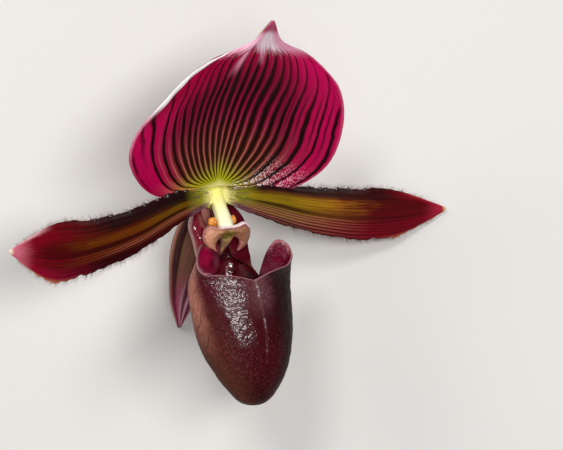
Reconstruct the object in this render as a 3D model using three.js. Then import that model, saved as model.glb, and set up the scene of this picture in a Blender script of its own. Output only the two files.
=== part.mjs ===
// One flower of a slipper orchid (Paphiopedilum), as picked: it lies on its back on a flat surface,
// resting on one petal, on its lower sepal and on a short piece of its stem.
// Millimetres, +Z up. The origin is on the surface, under the middle of the flower's plan.
//
// The flower is drawn in its own frame: x to its right petal, y up its upper sepal, z out of its face.
// Every thin organ is a middle surface that is thickened on both sides.
import * as THREE from "three";
import { ParametricGeometry } from "three/addons/geometries/ParametricGeometry.js";
import { mergeGeometries, mergeVertices } from "three/addons/utils/BufferGeometryUtils.js";

// How the flower lies: first turned on its own y axis, then tipped on the surface's x axis.
const TURN_DEG = 28;
const TIP_DEG = 12;

// Wall thickness of the organs.
const SEPAL_THICK = 1.0;
const PETAL_THICK = 1.0;
const LIP_THICK = 0.9;
const BRACT_THICK = 0.5;
const STAMINODE_THICK = 0.9;
const SEAT_GAP = 0.3;

// Each blade: points up its middle, and up its left and right margins, from the base to the tip.
const UPPER_SEPAL = {
  middle: [[0.3, 1.2, -1.4], [0, 8, 0.4], [0, 16, 3.6], [0, 23.5, 8.4], [0, 30, 13.8], [0, 35.5, 18.2],
    [0, 39.8, 22.2], [0, 44.5, 28]],
  left: [[-2.5, 1.4, -1.4], [-15.5, 0, -2.6], [-25, 9.5, 3.2], [-25, 19, 7.5], [-19.5, 27, 11],
    [-12, 34.5, 15], [-2, 38.5, 20], [-0.3, 44.5, 28]],
  right: [[3, 1.4, -1.4], [17, -2.5, -3.6], [28, 4, 2.5], [29.5, 16, 8], [26, 25, 12], [17, 33.5, 15.5],
    [6.5, 38.5, 20.5], [0.3, 44.5, 28]],
};
const RIGHT_PETAL = {
  middle: [[2.7, -1.2, -0.6], [14, -4, -0.3], [26, -7.5, -0.2], [38, -9.5, 0.4], [50, -10, 1.6],
    [62, -9.5, 3.2]],
  left: [[2.5, -3, 0.2], [13, -8, 0.2], [25.5, -12.5, 0], [38, -15.5, 0], [50, -15.5, 0.6], [62, -9.8, 3]],
  right: [[2.9, 0.2, -0.8], [15, -0.8, -0.8], [28, -3, -2.2], [40, -4.5, -2.4], [51, -5, -0.6],
    [62, -9.2, 3.2]],
};
const LEFT_PETAL = {
  middle: [[-2.7, -1.2, -0.6], [-11.5, -3.5, 0], [-22.5, -7.5, 1.4], [-34, -9.5, 3.4], [-45.5, -9.8, 5.6],
    [-57.5, -7, 8.2]],
  left: [[-2.5, -3, 0.2], [-11.5, -7, 0.6], [-22, -12, 1.6], [-33.5, -15, 3], [-46, -16, 4.8],
    [-57.5, -7.3, 8]],
  right: [[-2.9, 0.2, -0.8], [-11, -0.2, -0.8], [-22, -3.5, -1.2], [-33.5, -4.5, 0.6], [-45.5, -3.5, 3.4],
    [-57.5, -6.7, 8.2]],
};
const LOWER_SEPAL = {
  middle: [[1, -2.9, -6.3], [-0.5, -11, -9], [-1.5, -20, -12.8], [-2, -30, -17.6], [0, -38.7, -22.8]],
  left: [[-1.8, -2.9, -6.2], [-7, -8.5, -7.8], [-8, -18, -11], [-5.5, -29, -16.2], [-0.4, -38.7, -22.8]],
  right: [[3.8, -2.9, -6.2], [5.5, -12.5, -7.8], [4.5, -21, -11], [1.5, -31, -16.2], [0.4, -38.7, -22.8]],
};
// How much of the depth between middle and margin is kept near the middle: 1 is a flat V, 2 a round bowl.
const BLADE_CUP = 2;
// Faces across each blade and along it.
const UPPER_SEPAL_GRID = [20, 22];
const LOWER_SEPAL_GRID = [12, 14];
const PETAL_GRID = [12, 20];

// The pouch of the lip: height, half width, and how far out its front and its back stand.
const POUCH = [[-48.2, 0, 17.5, 17.5], [-47.4, 2.8, 20.2, 15], [-45.2, 5.2, 21.9, 13.2],
  [-40.6, 8.5, 22.9, 9.8], [-33.7, 11.4, 21.8, 5.6], [-24.4, 12.4, 19.7, 2.7], [-17.9, 12.4, 18.2, 1.2],
  [-11, 12.6, 16.6, 0.2]];
const POUCH_TOE = -48.2;
// The height where the pouch stops being a closed ring, and how far round its front wall goes.
const POUCH_RING = -22;
const FRONT_HALF_ANGLE = 135;
// Degrees between the wall's columns of points, and rows of faces in the cup, the front wall and the claw.
const WALL_STEP_DEG = 9;
const CUP_ROWS = 12;
const FRONT_ROWS = 5;
const CLAW_ROWS = 12;
// The cup's rows crowd towards the toe as on a ball: the arc that they cover, in radians.
const TOE_ARC = 1.54;
// The mouth's rim on each side: degrees from the front, height, and flare. Its highest part is the side lobe.
const RIM_RIGHT = [[0, -17.9, 1], [20, -16.7, 1], [40, -16.3, 1], [62, -16.3, 1.03], [75, -15.7, 1.1],
  [85, -14.6, 1.17], [93, -12.8, 1.17], [101, -11.8, 1.12], [110, -11.6, 1.05], [116, -12.7, 1],
  [123, -14.8, 0.965], [129, -17.5, 0.95], [135, -20.6, 0.945]];
const RIM_LEFT = [[0, -17.9, 1], [20, -16.7, 1], [40, -16.3, 1], [60, -16.3, 1], [74, -14.9, 0.99],
  [85, -12.6, 0.98], [95, -10.9, 0.97], [104, -10.6, 0.96], [112, -11.8, 0.95], [120, -14.2, 0.945],
  [128, -17.6, 0.94], [135, -20.6, 0.94]];
const FLARE_START = 1.2;
// The claw behind the mouth, a channel with its margins turned in:
// height, half width, how far out its back stands, depth of the fold, and where its margin ends.
const CLAW = [[-22, 7.7, 2.2, 1.4, 7.7], [-18.5, 6.9, 0.8, 3, 4.6], [-15, 6.5, -0.8, 4.4, 1.6],
  [-11, 6.7, -2.6, 4.4, 1.6], [-8, 6.9, -3.9, 3.9, 3.4], [-4.8, 5, -4.7, 2.4, 3.6],
  [-3, 3.3, -4.9, 1.1, 2.9]];
const CLAW_TOP = -3;
const CLAW_BLEND = 7;
// The channel's section from its middle to its side: share of the half width, share of the fold's depth.
const CLAW_SECTION = [[0, 0], [0.62, 0.1], [1, 0.45]];
// The margin turns in at this share of the fold's depth, and bends this share of the way to its end.
const CLAW_LIP_DEPTH = 0.95;
const CLAW_LIP_BEND = 0.25;

// The column, from the flower's centre out to its tip, and its radius on the way.
const COLUMN_PATH = [[0, -1.1, -2.4], [0, -2.6, -0.2], [0, -5, 2.2], [0, -7.6, 4.2]];
const COLUMN_RADIUS = [2, 1.9, 1.8, 1.7];

// The shield on the column's tip: half its outline, from the notch on top, round to the tooth in the middle.
const SHIELD_HALF = [[0, -7.5], [2.6, -7.4], [4.6, -6.9], [6, -8.2], [6.2, -10.4], [5.2, -12.4], [3.7, -13.4],
  [2.4, -13.9], [2.9, -12.4], [2.6, -11.2], [1.6, -10.3], [0.9, -11.6], [0, -14.6]];
const SHIELD_LEVEL = 5.2;
const SHIELD_CURVE = 0.03;
const SHIELD_POINTS = 40;

const ANTHER_CENTRE = [3, -6.7, 2.4];
const ANTHER_RADII = [1.05, 1.3, 1.05];
const STIGMA_CENTRE = [0, -10.3, 3.7];
const STIGMA_RADII = [2.1, 1.6, 0.7];
// Faces round the anthers and the stigma, and from pole to pole.
const PEBBLE_SIDES = 14;
const PEBBLE_RINGS = 10;

// The ovary and the stem lie on the surface behind the flower, so they are drawn in the resting frame,
// still measured from the flower's centre.
const OVARY_PATH = [[-1.6, 0.3, -3], [-5, 1.5, -9.5], [-8.2, 2.8, -16], [-10.3, 3.2, -21.8],
  [-9.4, -0.4, -25.7], [-6, -9.5, -26.2], [0, -21, -26.4]];
const OVARY_RADIUS = [1.9, 2.2, 2.3, 2.3, 2.2, 2, 1.8];
const STEM_PATH = [[0.2, -21.45, -26.4], [4.2, -33, -26.3], [8, -45, -26.2]];
const STEM_RADIUS = [1.8, 1.9, 2];
// Faces round each round bar, and along it.
const BAR_SIDES = 16;
const COLUMN_STEPS = 8;
const OVARY_STEPS = 24;
const STEM_STEPS = 8;
// The bract wraps the top of the ovary's foot: how far up the ovary it reaches, half its wrap at the foot,
// and the share of the wrap that is lost on the way to its tip.
const BRACT_FOOT = 0.99;
const BRACT_TIP = 0.74;
const BRACT_HALF_WRAP_DEG = 100;
const BRACT_TAPER = 0.95;
const BRACT_GRID = [12, 10];

// Points closer than this are one point.
const WELD_DISTANCE = 1e-3;

const UP = new THREE.Vector3(0, 0, 1);

// ---- Helpers ----

// A smooth curve through a few points.
function smooth(points) {
  return new THREE.CatmullRomCurve3(points.map((p) => new THREE.Vector3(...p)), false, "catmullrom", 0.5);
}

// Values that follow a first column smoothly: cubic pieces with the slope of the two neighbours.
function follow(rows, x) {
  const last = rows.length - 1;
  const slope = (i, k) => {
    const a = rows[Math.max(i - 1, 0)];
    const b = rows[Math.min(i + 1, last)];
    return (b[k] - a[k]) / (b[0] - a[0]);
  };
  let i = 0;
  while (i < last - 1 && x >= rows[i + 1][0]) i += 1;
  const span = rows[i + 1][0] - rows[i][0];
  const t = THREE.MathUtils.clamp((x - rows[i][0]) / span, 0, 1);
  const values = [];
  for (let k = 1; k < rows[i].length; k += 1) {
    const start = (1 + 2 * t) * (1 - t) ** 2 * rows[i][k];
    const end = t * t * (3 - 2 * t) * rows[i + 1][k];
    const bend = t * (1 - t) * span * ((1 - t) * slope(i, k) - t * slope(i + 1, k));
    values.push(start + end + bend);
  }
  return values;
}

// A value from an evenly spaced list, straight between its entries.
function along(list, t) {
  const place = THREE.MathUtils.clamp(t, 0, 1) * (list.length - 1);
  const i = Math.min(Math.floor(place), list.length - 2);
  return THREE.MathUtils.lerp(list[i], list[i + 1], place - i);
}

// Welds a surface and leaves out the triangles that have no area.
function weld(surface) {
  surface.deleteAttribute("normal");
  surface.deleteAttribute("uv");
  const merged = mergeVertices(surface, WELD_DISTANCE);
  const index = [];
  for (let i = 0; i < merged.index.count; i += 3) {
    const [a, b, c] = [0, 1, 2].map((k) => merged.index.getX(i + k));
    if (a !== b && b !== c && c !== a) index.push(a, b, c);
  }
  merged.setIndex(index);
  return merged;
}

// Turns an open surface into a closed solid of even thickness.
function thicken(surface, thickness) {
  const middle = weld(surface);
  middle.computeVertexNormals();
  const at = middle.attributes.position;
  const normal = middle.attributes.normal;
  const points = [];
  for (const side of [1, -1]) {
    for (let i = 0; i < at.count; i += 1) {
      const move = (side * thickness) / 2;
      points.push(at.getX(i) + move * normal.getX(i));
      points.push(at.getY(i) + move * normal.getY(i));
      points.push(at.getZ(i) + move * normal.getZ(i));
    }
  }
  const under = at.count;
  const faces = middle.index.array;
  const edges = new Set();
  for (let i = 0; i < faces.length; i += 3) {
    for (let k = 0; k < 3; k += 1) edges.add(faces[i + k] + "," + faces[i + ((k + 1) % 3)]);
  }
  const index = [];
  for (let i = 0; i < faces.length; i += 3) {
    const [a, b, c] = [faces[i], faces[i + 1], faces[i + 2]];
    index.push(a, b, c, under + a, under + c, under + b);
  }
  for (const edge of edges) {
    const [a, b] = edge.split(",").map(Number);
    if (edges.has(b + "," + a)) continue;
    index.push(b, a, under + a, b, under + a, under + b);
  }
  const solid = new THREE.BufferGeometry();
  solid.setAttribute("position", new THREE.Float32BufferAttribute(points, 3));
  solid.setIndex(index);
  solid.computeVertexNormals();
  return solid;
}

// A round bar along a curve, with flat ends and a radius that changes on the way.
// Its first and last rows of points have no radius, and close the ends.
function bar(points, radii, steps) {
  const rows = steps + 2;
  const path = smooth(points);
  const across = new THREE.Vector3(1, 0, 0);
  const ring = (t) => {
    const centre = path.getPoint(t);
    const forward = path.getTangent(t);
    const side = across.clone().addScaledVector(forward, -across.dot(forward)).normalize();
    const other = forward.clone().cross(side);
    return (angle, radius) => centre.clone()
      .addScaledVector(side, radius * Math.cos(angle))
      .addScaledVector(other, radius * Math.sin(angle));
  };
  const skin = (u, v, target) => {
    const row = Math.round(v * rows);
    const t = THREE.MathUtils.clamp((row - 1) / steps, 0, 1);
    const isEnd = row === 0 || row === rows;
    target.copy(ring(t)(u * 2 * Math.PI, isEnd ? 0 : along(radii, t)));
  };
  return weld(new ParametricGeometry(skin, BAR_SIDES, rows));
}

// A blade between its two margins.
function blade(outline, grid) {
  const middle = smooth(outline.middle);
  const margins = [smooth(outline.left), smooth(outline.right)];
  const surface = (u, v, target) => {
    const side = 2 * u - 1;
    const centre = middle.getPoint(v);
    const margin = margins[side < 0 ? 0 : 1].getPoint(v);
    const reach = Math.abs(side);
    target.lerpVectors(centre, margin, reach);
    target.z = THREE.MathUtils.lerp(centre.z, margin.z, reach ** BLADE_CUP);
  };
  return new ParametricGeometry(surface, ...grid);
}

// ---- The lip ----

// A point of the pouch's wall, at degrees from its front.
function wallPoint(degrees, height, flare = 1) {
  const [half, front, back] = follow(POUCH, height);
  const angle = THREE.MathUtils.degToRad(degrees);
  const x = flare * half * Math.sin(angle);
  const z = (front + back) / 2 + (flare * (front - back)) / 2 * Math.cos(angle);
  return new THREE.Vector3(x, height, z);
}

// The channel's right half at a height: 0 is its middle, 1 its margin.
function clawPoint(place, height) {
  const [half, back, fold, margin] = follow(CLAW, height);
  const turned = THREE.MathUtils.clamp((height - POUCH_RING) / CLAW_BLEND, 0, 1);
  const bend = THREE.MathUtils.lerp(half, margin, CLAW_LIP_BEND * turned);
  const lipDepth = back + CLAW_LIP_DEPTH * fold;
  const side = CLAW_SECTION.map(([out, deep]) => [out * half, height, back + deep * fold]);
  return smooth([...side, [bend, height, lipDepth], [margin, height, lipDepth]]).getPoint(place);
}

function lipSurface() {
  const cup = (u, v, target) => {
    const rise = (1 - Math.cos(v * TOE_ARC)) / (1 - Math.cos(TOE_ARC));
    target.copy(wallPoint(-180 + 360 * u, THREE.MathUtils.lerp(POUCH_TOE, POUCH_RING, rise)));
  };
  const front = (u, v, target) => {
    const degrees = FRONT_HALF_ANGLE * (2 * u - 1);
    const [top, flare] = follow(degrees < 0 ? RIM_LEFT : RIM_RIGHT, Math.abs(degrees));
    const height = THREE.MathUtils.lerp(POUCH_RING, top, v);
    target.copy(wallPoint(degrees, height, 1 + (flare - 1) * v ** FLARE_START));
  };
  const claw = (u, v, target) => {
    const degrees = THREE.MathUtils.lerp(FRONT_HALF_ANGLE, 360 - FRONT_HALF_ANGLE, u);
    const height = THREE.MathUtils.lerp(POUCH_RING, CLAW_TOP, v);
    const place = Math.abs(degrees - 180) / (180 - FRONT_HALF_ANGLE);
    const channel = clawPoint(place, height);
    if (degrees > 180) channel.x *= -1;
    const turned = THREE.MathUtils.smoothstep(height, POUCH_RING, POUCH_RING + CLAW_BLEND);
    target.lerpVectors(wallPoint(degrees, height), channel, turned);
  };
  return mergeGeometries([
    new ParametricGeometry(cup, 360 / WALL_STEP_DEG, CUP_ROWS),
    new ParametricGeometry(front, (2 * FRONT_HALF_ANGLE) / WALL_STEP_DEG, FRONT_ROWS),
    new ParametricGeometry(claw, (360 - 2 * FRONT_HALF_ANGLE) / WALL_STEP_DEG, CLAW_ROWS),
  ]);
}

// ---- The column's organs ----

// The shield is cut from a plate and bent back at its sides.
function shieldGeometry() {
  const half = smooth(SHIELD_HALF.map(([x, y]) => [x, y, 0])).getPoints(SHIELD_POINTS);
  const whole = [...half, ...half.slice(1, -1).reverse().map((p) => new THREE.Vector3(-p.x, p.y, 0))];
  const shape = new THREE.Shape(whole.map((p) => new THREE.Vector2(p.x, p.y)));
  const plate = new THREE.ExtrudeGeometry(shape, { depth: STAMINODE_THICK, bevelEnabled: false });
  const at = plate.attributes.position;
  for (let i = 0; i < at.count; i += 1) {
    at.setZ(i, at.getZ(i) + SHIELD_LEVEL - SHIELD_CURVE * at.getX(i) ** 2);
  }
  return weld(plate);
}

function pebble(radii) {
  const ball = new THREE.SphereGeometry(1, PEBBLE_SIDES, PEBBLE_RINGS);
  ball.scale(...radii);
  return weld(ball);
}

// The bract clasps the ovary's foot from above, and narrows to its tip.
function bractSurface() {
  const ovary = smooth(OVARY_PATH);
  const wrap = THREE.MathUtils.degToRad(BRACT_HALF_WRAP_DEG);
  const surface = (u, v, target) => {
    const t = THREE.MathUtils.lerp(BRACT_FOOT, BRACT_TIP, v);
    const forward = ovary.getTangent(t);
    const top = UP.clone().addScaledVector(forward, -UP.dot(forward)).normalize();
    const side = forward.clone().cross(top);
    const angle = (2 * u - 1) * wrap * (1 - BRACT_TAPER * v ** 2);
    const radius = along(OVARY_RADIUS, t) + SEAT_GAP + BRACT_THICK / 2;
    target.copy(ovary.getPoint(t))
      .addScaledVector(top, radius * Math.cos(angle))
      .addScaledVector(side, radius * Math.sin(angle));
  };
  return new ParametricGeometry(surface, ...BRACT_GRID);
}

// ---- The pieces ----

function piece(name, geometry, color, roughness) {
  const material = new THREE.MeshStandardMaterial({ color, roughness, metalness: 0 });
  const mesh = new THREE.Mesh(geometry, material);
  mesh.name = name;
  return mesh;
}

const flower = new THREE.Group();
flower.rotation.set(THREE.MathUtils.degToRad(TIP_DEG), THREE.MathUtils.degToRad(TURN_DEG), 0);
const upperSepal = thicken(blade(UPPER_SEPAL, UPPER_SEPAL_GRID), SEPAL_THICK);
const lowerSepal = thicken(blade(LOWER_SEPAL, LOWER_SEPAL_GRID), SEPAL_THICK);
const rightPetal = thicken(blade(RIGHT_PETAL, PETAL_GRID), PETAL_THICK);
const leftPetal = thicken(blade(LEFT_PETAL, PETAL_GRID), PETAL_THICK);
flower.add(piece("dorsal_sepal", upperSepal, 0x8e0f4a, 0.5));
flower.add(piece("synsepal", lowerSepal, 0x8a5a58, 0.5));
flower.add(piece("petal_right", rightPetal, 0x8a5a20, 0.4));
flower.add(piece("petal_left", leftPetal, 0x94401f, 0.4));
flower.add(piece("lip_pouch", thicken(lipSurface(), LIP_THICK), 0x5a1620, 0.25));
flower.add(piece("column", bar(COLUMN_PATH, COLUMN_RADIUS, COLUMN_STEPS), 0xd9d977, 0.45));
flower.add(piece("staminode", shieldGeometry(), 0xb08a5c, 0.4));

const stigma = piece("stigma", pebble(STIGMA_RADII), 0xc9c08a, 0.4);
stigma.position.set(...STIGMA_CENTRE);
flower.add(stigma);
for (const [name, side] of [["anther_left", -1], ["anther_right", 1]]) {
  const anther = piece(name, pebble(ANTHER_RADII), 0xe08a1e, 0.4);
  anther.position.set(side * ANTHER_CENTRE[0], ANTHER_CENTRE[1], ANTHER_CENTRE[2]);
  flower.add(anther);
}

const resting = new THREE.Group();
resting.add(flower);
resting.add(piece("ovary", bar(OVARY_PATH, OVARY_RADIUS, OVARY_STEPS), 0x6b6a34, 0.6));
resting.add(piece("scape", bar(STEM_PATH, STEM_RADIUS, STEM_STEPS), 0x4c3b22, 0.6));
resting.add(piece("bract", thicken(bractSurface(), BRACT_THICK), 0x7a8a3a, 0.6));

// The flower lies on z = 0, with the middle of its plan over the origin.
const extent = new THREE.Box3().setFromObject(resting, true);
const centre = extent.getCenter(new THREE.Vector3());
resting.position.set(-centre.x, -centre.y, -extent.min.z);

const orchid = new THREE.Group();
orchid.add(resting);

export default orchid;
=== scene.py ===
# %% [markdown]
# # A slipper orchid flower
# This lesson builds one flower of a slipper orchid (Paphiopedilum), as picked and laid on a table. A simple
# solid model of the flower exists already: it has the right size and the right pieces, and here it is only
# the frame. Each piece of it is built again with the veins, hairs and warts of the real flower. The frame
# comes first, so that every new piece can be checked against it.

# %% Load the frame
import math

import bpy
import numpy as np
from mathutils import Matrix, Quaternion, Vector, kdtree, noise


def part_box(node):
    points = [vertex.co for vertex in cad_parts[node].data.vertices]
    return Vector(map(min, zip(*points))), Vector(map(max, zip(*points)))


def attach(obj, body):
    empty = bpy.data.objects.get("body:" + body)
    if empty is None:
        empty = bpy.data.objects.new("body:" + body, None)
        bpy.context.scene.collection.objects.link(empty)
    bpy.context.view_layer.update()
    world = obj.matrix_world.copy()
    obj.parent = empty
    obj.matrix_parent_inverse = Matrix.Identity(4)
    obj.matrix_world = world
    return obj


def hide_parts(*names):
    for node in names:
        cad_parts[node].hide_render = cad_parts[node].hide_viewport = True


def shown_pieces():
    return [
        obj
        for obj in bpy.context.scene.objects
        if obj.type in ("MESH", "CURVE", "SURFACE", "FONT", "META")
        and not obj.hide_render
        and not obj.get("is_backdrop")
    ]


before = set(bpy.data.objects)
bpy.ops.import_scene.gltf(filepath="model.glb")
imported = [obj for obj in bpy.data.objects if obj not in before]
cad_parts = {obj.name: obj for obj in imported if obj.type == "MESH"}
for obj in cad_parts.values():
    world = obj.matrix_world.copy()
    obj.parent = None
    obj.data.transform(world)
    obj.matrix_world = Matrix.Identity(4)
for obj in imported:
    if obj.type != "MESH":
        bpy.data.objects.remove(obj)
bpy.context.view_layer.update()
print("frame pieces:", ", ".join(sorted(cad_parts)))

# %% [markdown]
# ## Where the flower lies
# A flower is easiest to draw as it faces us: x to its right petal, y up its upper sepal and z out of its
# face, in millimetres. The picked flower lies on its back, turned and tipped a little, so every point is
# turned the same way at the end. The frame's two anthers sit symmetrically beside the flower's middle, so
# the place halfway between them tells where that middle lies.

# %% From the flower's own axes to the table
TURN, TIP = math.radians(28), math.radians(12)
BETWEEN_ANTHERS = np.array([0, -6.7, 2.4])
MM = 0.001


def turned(points):
    """Points of the flower, turned and tipped as it lies, still in millimetres from the flower's middle."""
    x, y, z = np.moveaxis(np.asarray(points, float), -1, 0)
    deep = z * math.cos(TURN) - x * math.sin(TURN)
    return np.stack([x * math.cos(TURN) + z * math.sin(TURN),
                     y * math.cos(TIP) - deep * math.sin(TIP),
                     y * math.sin(TIP) + deep * math.cos(TIP)], -1)


anther_corners = np.array([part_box("anther_left"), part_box("anther_right")]).reshape(4, 3)
MIDDLE = anther_corners.mean(0) / MM - turned(BETWEEN_ANTHERS)


def on_table(points, is_turned=False):
    """Points in metres, where the flower lies on the table."""
    return ((np.asarray(points, float) if is_turned else turned(points)) + MIDDLE) * MM


print("the flower's middle is", np.round(MIDDLE, 2), "mm from the table's mark")

# %% [markdown]
# ## Smooth lines and smooth tables
# A petal's edge is a line through a handful of measured points. A Catmull-Rom curve passes through each of
# them with no corner, which Bezier handles would need care to do.

# %% Curves through points
def curve(before, here, there, after, w):
    """A Catmull-Rom curve from here to there, at the share w of the way."""
    return 0.5 * (2 * here + (there - before) * w + (2 * before - 5 * here + 4 * there - after) * w ** 2
                  + (3 * here - before - 3 * there + after) * w ** 3)


def through(points, share):
    """Places on a smooth line through points; share runs from 0 at the first to 1 at the last."""
    points = np.asarray(points, float)
    place = np.clip(np.asarray(share, float), 0, 1) * (len(points) - 1)
    i = np.minimum(place.astype(int), len(points) - 2)
    ends = np.vstack([2 * points[0] - points[1], points, 2 * points[-1] - points[-2]])
    return curve(*(ends[i + k] for k in range(4)), (place - i)[..., None])


print("half way along a bent line:", through([[0, 0, 0], [1, 2, 0], [2, 0, 0]], 0.5))

# %% [markdown]
# A table of widths by height is read in the same smooth way, with the slope at each row taken from its
# neighbours. Soft steps and bells fade every bend and ripple in and out, so that no edge shows.

# %% Tables read smoothly, soft steps and noise
def read(table, x):
    """The other columns of a table, read smoothly at x in its first column."""
    table = np.asarray(table, float)
    key, value = table[:, 0], table[:, 1:]
    low = np.r_[0, 0:len(key) - 1]
    high = np.r_[1:len(key), len(key) - 1]
    slope = (value[high] - value[low]) / (key[high] - key[low])[:, None]
    x = np.asarray(x, float)
    i = np.clip(np.searchsorted(key, x, side="right") - 1, 0, len(key) - 2)
    span = (key[i + 1] - key[i])[..., None]
    t = np.clip((x - key[i])[..., None] / span, 0, 1)
    return ((1 + 2 * t) * (1 - t) ** 2 * value[i] + t * t * (3 - 2 * t) * value[i + 1]
            + t * (1 - t) * span * ((1 - t) * slope[i] - t * slope[i + 1]))


def ease(x, low, high):
    """0 below low, 1 above high, and a soft step between them."""
    t = np.clip((x - low) / (high - low), 0, 1)
    return t * t * (3 - 2 * t)


def bell(x, middle, width):
    """1 at the middle, fading to nothing a few widths away."""
    return np.exp(-((x - middle) / width) ** 2)


def unit(vectors, least=0.0):
    """The same directions, with a length of 1."""
    return vectors / (np.linalg.norm(vectors, axis=-1, keepdims=True) + least)


def bumps(points):
    """Smooth noise at points, between about -1 and 1."""
    return np.array([noise.noise(Vector(p)) for p in points])


print("half way between two rows of a table:", read([[0, 1], [1, 3]], 0.5))

# %% [markdown]
# ## Skins
# Every petal is a thin sheet of tissue with a face, a back and a rounded margin. Blender's Solidify
# modifier could thicken a sheet, but its thickness is even, and a petal thins to its margin. So the sheet
# is thickened here, each point by its own half thickness, and the two skins are joined round the open edge.
# It starts with the faces, told by the numbers of the points at their corners.

# %% The faces of a sheet
def numbered(rows, columns):
    """The numbers of a grid's points."""
    return np.arange(rows * columns).reshape(rows, columns)


def faces_between(at):
    """The four corners of every face between rows of numbered points."""
    return np.stack([at[:-1, :-1], at[:-1, 1:], at[1:, 1:], at[1:, :-1]], -1).reshape(-1, 4)


def faces_around(at):
    """The same, for rows that are closed rings."""
    return faces_between(np.hstack([at, at[:, :1]]))


def faces_closed(at):
    """The same, for rings that end in a single point. Gives the points in use, and the faces."""
    at[0], at[-1] = at[0, 0], at[-1, 0]
    used, index = np.unique(faces_around(at), return_inverse=True)
    return used, index.reshape(-1, 4)


def facing(faces, amount):
    """Turns the faces over if the amount is below zero."""
    return faces[:, ::-1] if amount < 0 else faces


def open_edges(faces):
    """The directed edges that only one face uses."""
    pairs = np.concatenate([faces[:, [k, (k + 1) % 4]] for k in range(4)])
    pairs = pairs[pairs[:, 0] != pairs[:, 1]]
    label = np.sort(pairs, 1) @ [len(pairs) * 4, 1]
    _, first, count = np.unique(label, return_index=True, return_counts=True)
    return pairs[first[count == 1]]


print("a 3 by 3 sheet has", len(open_edges(faces_between(numbered(3, 3)))), "open edges")

# %% [markdown]
# Each point of the skins keeps marks of where it sits on its organ: across, along, and whether it is on the
# face or on the back. The finishes read them later, so a painted vein lands in its own groove.

# %% Two skins from a sheet
def point_normals(points, faces):
    """The direction that the sheet faces at each point."""
    a, b, c, d = (points[faces[:, k]] for k in range(4))
    normal = np.cross(c - a, d - b)
    total = np.zeros_like(points)
    for k in range(4):
        np.add.at(total, faces[:, k], normal)
    return total / np.maximum(np.linalg.norm(total, axis=1), 1e-12)[:, None]


def skin(points, faces, half, relief=0.0):
    """Thickens a sheet. relief lifts the face and the back together, along the sheet's normals."""
    normal = point_normals(points, faces)
    lift = np.broadcast_to(relief, len(points))[:, None]
    half = np.broadcast_to(half, len(points))[:, None]
    both = np.concatenate([points + normal * (lift + half), points + normal * (lift - half)])
    edge = open_edges(faces)
    n = len(points)
    sides = np.stack([edge[:, 1], edge[:, 0], edge[:, 0] + n, edge[:, 1] + n], 1)
    return both, np.concatenate([faces, faces[:, ::-1] + n, sides])


def two_sided(values):
    """The marks of a sheet's points for its face and then its back, with 1 on the face and 0 on the back."""
    side = np.repeat([1.0, 0.0], len(values))
    return np.column_stack([np.tile(values, (2, 1)), side])


sample = np.array([[x, y, 0.0] for y in range(3) for x in range(3)])
print("a 3 by 3 sheet has", len(skin(sample, faces_between(numbered(3, 3)), 0.1)[1]), "faces when thickened")

# %% [markdown]
# A mesh becomes a piece of the flower here. It takes the place of the piece of the frame that it stands for,
# which is hidden, and it hangs from the flower's root with the others.

# %% A piece from points and faces
def add_object(name, data):
    """A new object in the scene."""
    made = bpy.data.objects.new(name, data)
    bpy.context.scene.collection.objects.link(made)
    return made


def make_piece(name, points, faces, node=None, slot=None, **marks):
    """A smooth-shaded mesh piece with its marks on its points. It rides with the flower."""
    corners = [[k for i, k in enumerate(f) if k != f[i - 1]] for f in np.asarray(faces).tolist()]
    mesh = bpy.data.meshes.new(name)
    mesh.from_pydata(np.asarray(points).tolist(), [], corners)
    for key, value in marks.items():
        value = np.asarray(value, np.float32)
        kind, field = ("FLOAT_VECTOR", "vector") if value.ndim == 2 else ("FLOAT", "value")
        mesh.attributes.new(key, kind, "POINT").data.foreach_set(field, value.ravel())
    mesh.shade_smooth()
    piece = add_object(name, mesh)
    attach(piece, "root")
    if node:
        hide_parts(node)
    return piece


print("the frame waits for", len(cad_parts), "pieces to be built again")

# %% [markdown]
# ## Blades
# Sepals and petals grow alike: a middle line and two margins that meet at the tip. Modelling one by pulling
# a plane about would never match the frame, so each blade is swept between its three lines, which follow
# those of the frame. Only the petals start a little further in, where they join the flower.

# %% The outlines of the four blades
UPPER_SEPAL = dict(
    middle=[[0.3, 1.2, -1.4], [0, 8, 0.4], [0, 16, 3.6], [0, 23.5, 8.4], [0, 30, 13.8], [0, 35.5, 18.2],
            [0, 39.8, 22.2], [0, 44.5, 28]],
    left=[[-2.5, 1.4, -1.4], [-15.5, 0, -2.6], [-25, 9.5, 3.2], [-25, 19, 7.5], [-19.5, 27, 11],
          [-12, 34.5, 15], [-2, 38.5, 20], [-0.3, 44.5, 28]],
    right=[[3, 1.4, -1.4], [17, -2.5, -3.6], [28, 4, 2.5], [29.5, 16, 8], [26, 25, 12], [17, 33.5, 15.5],
           [6.5, 38.5, 20.5], [0.3, 44.5, 28]])
LOWER_SEPAL = dict(
    middle=[[1, -2.9, -6.3], [-0.5, -11, -9], [-1.5, -20, -12.8], [-2, -30, -17.6], [0, -38.7, -22.8]],
    left=[[-1.8, -2.9, -6.2], [-7, -8.5, -7.8], [-8, -18, -11], [-5.5, -29, -16.2], [-0.4, -38.7, -22.8]],
    right=[[3.8, -2.9, -6.2], [5.5, -12.5, -7.8], [4.5, -21, -11], [1.5, -31, -16.2], [0.4, -38.7, -22.8]])
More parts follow.
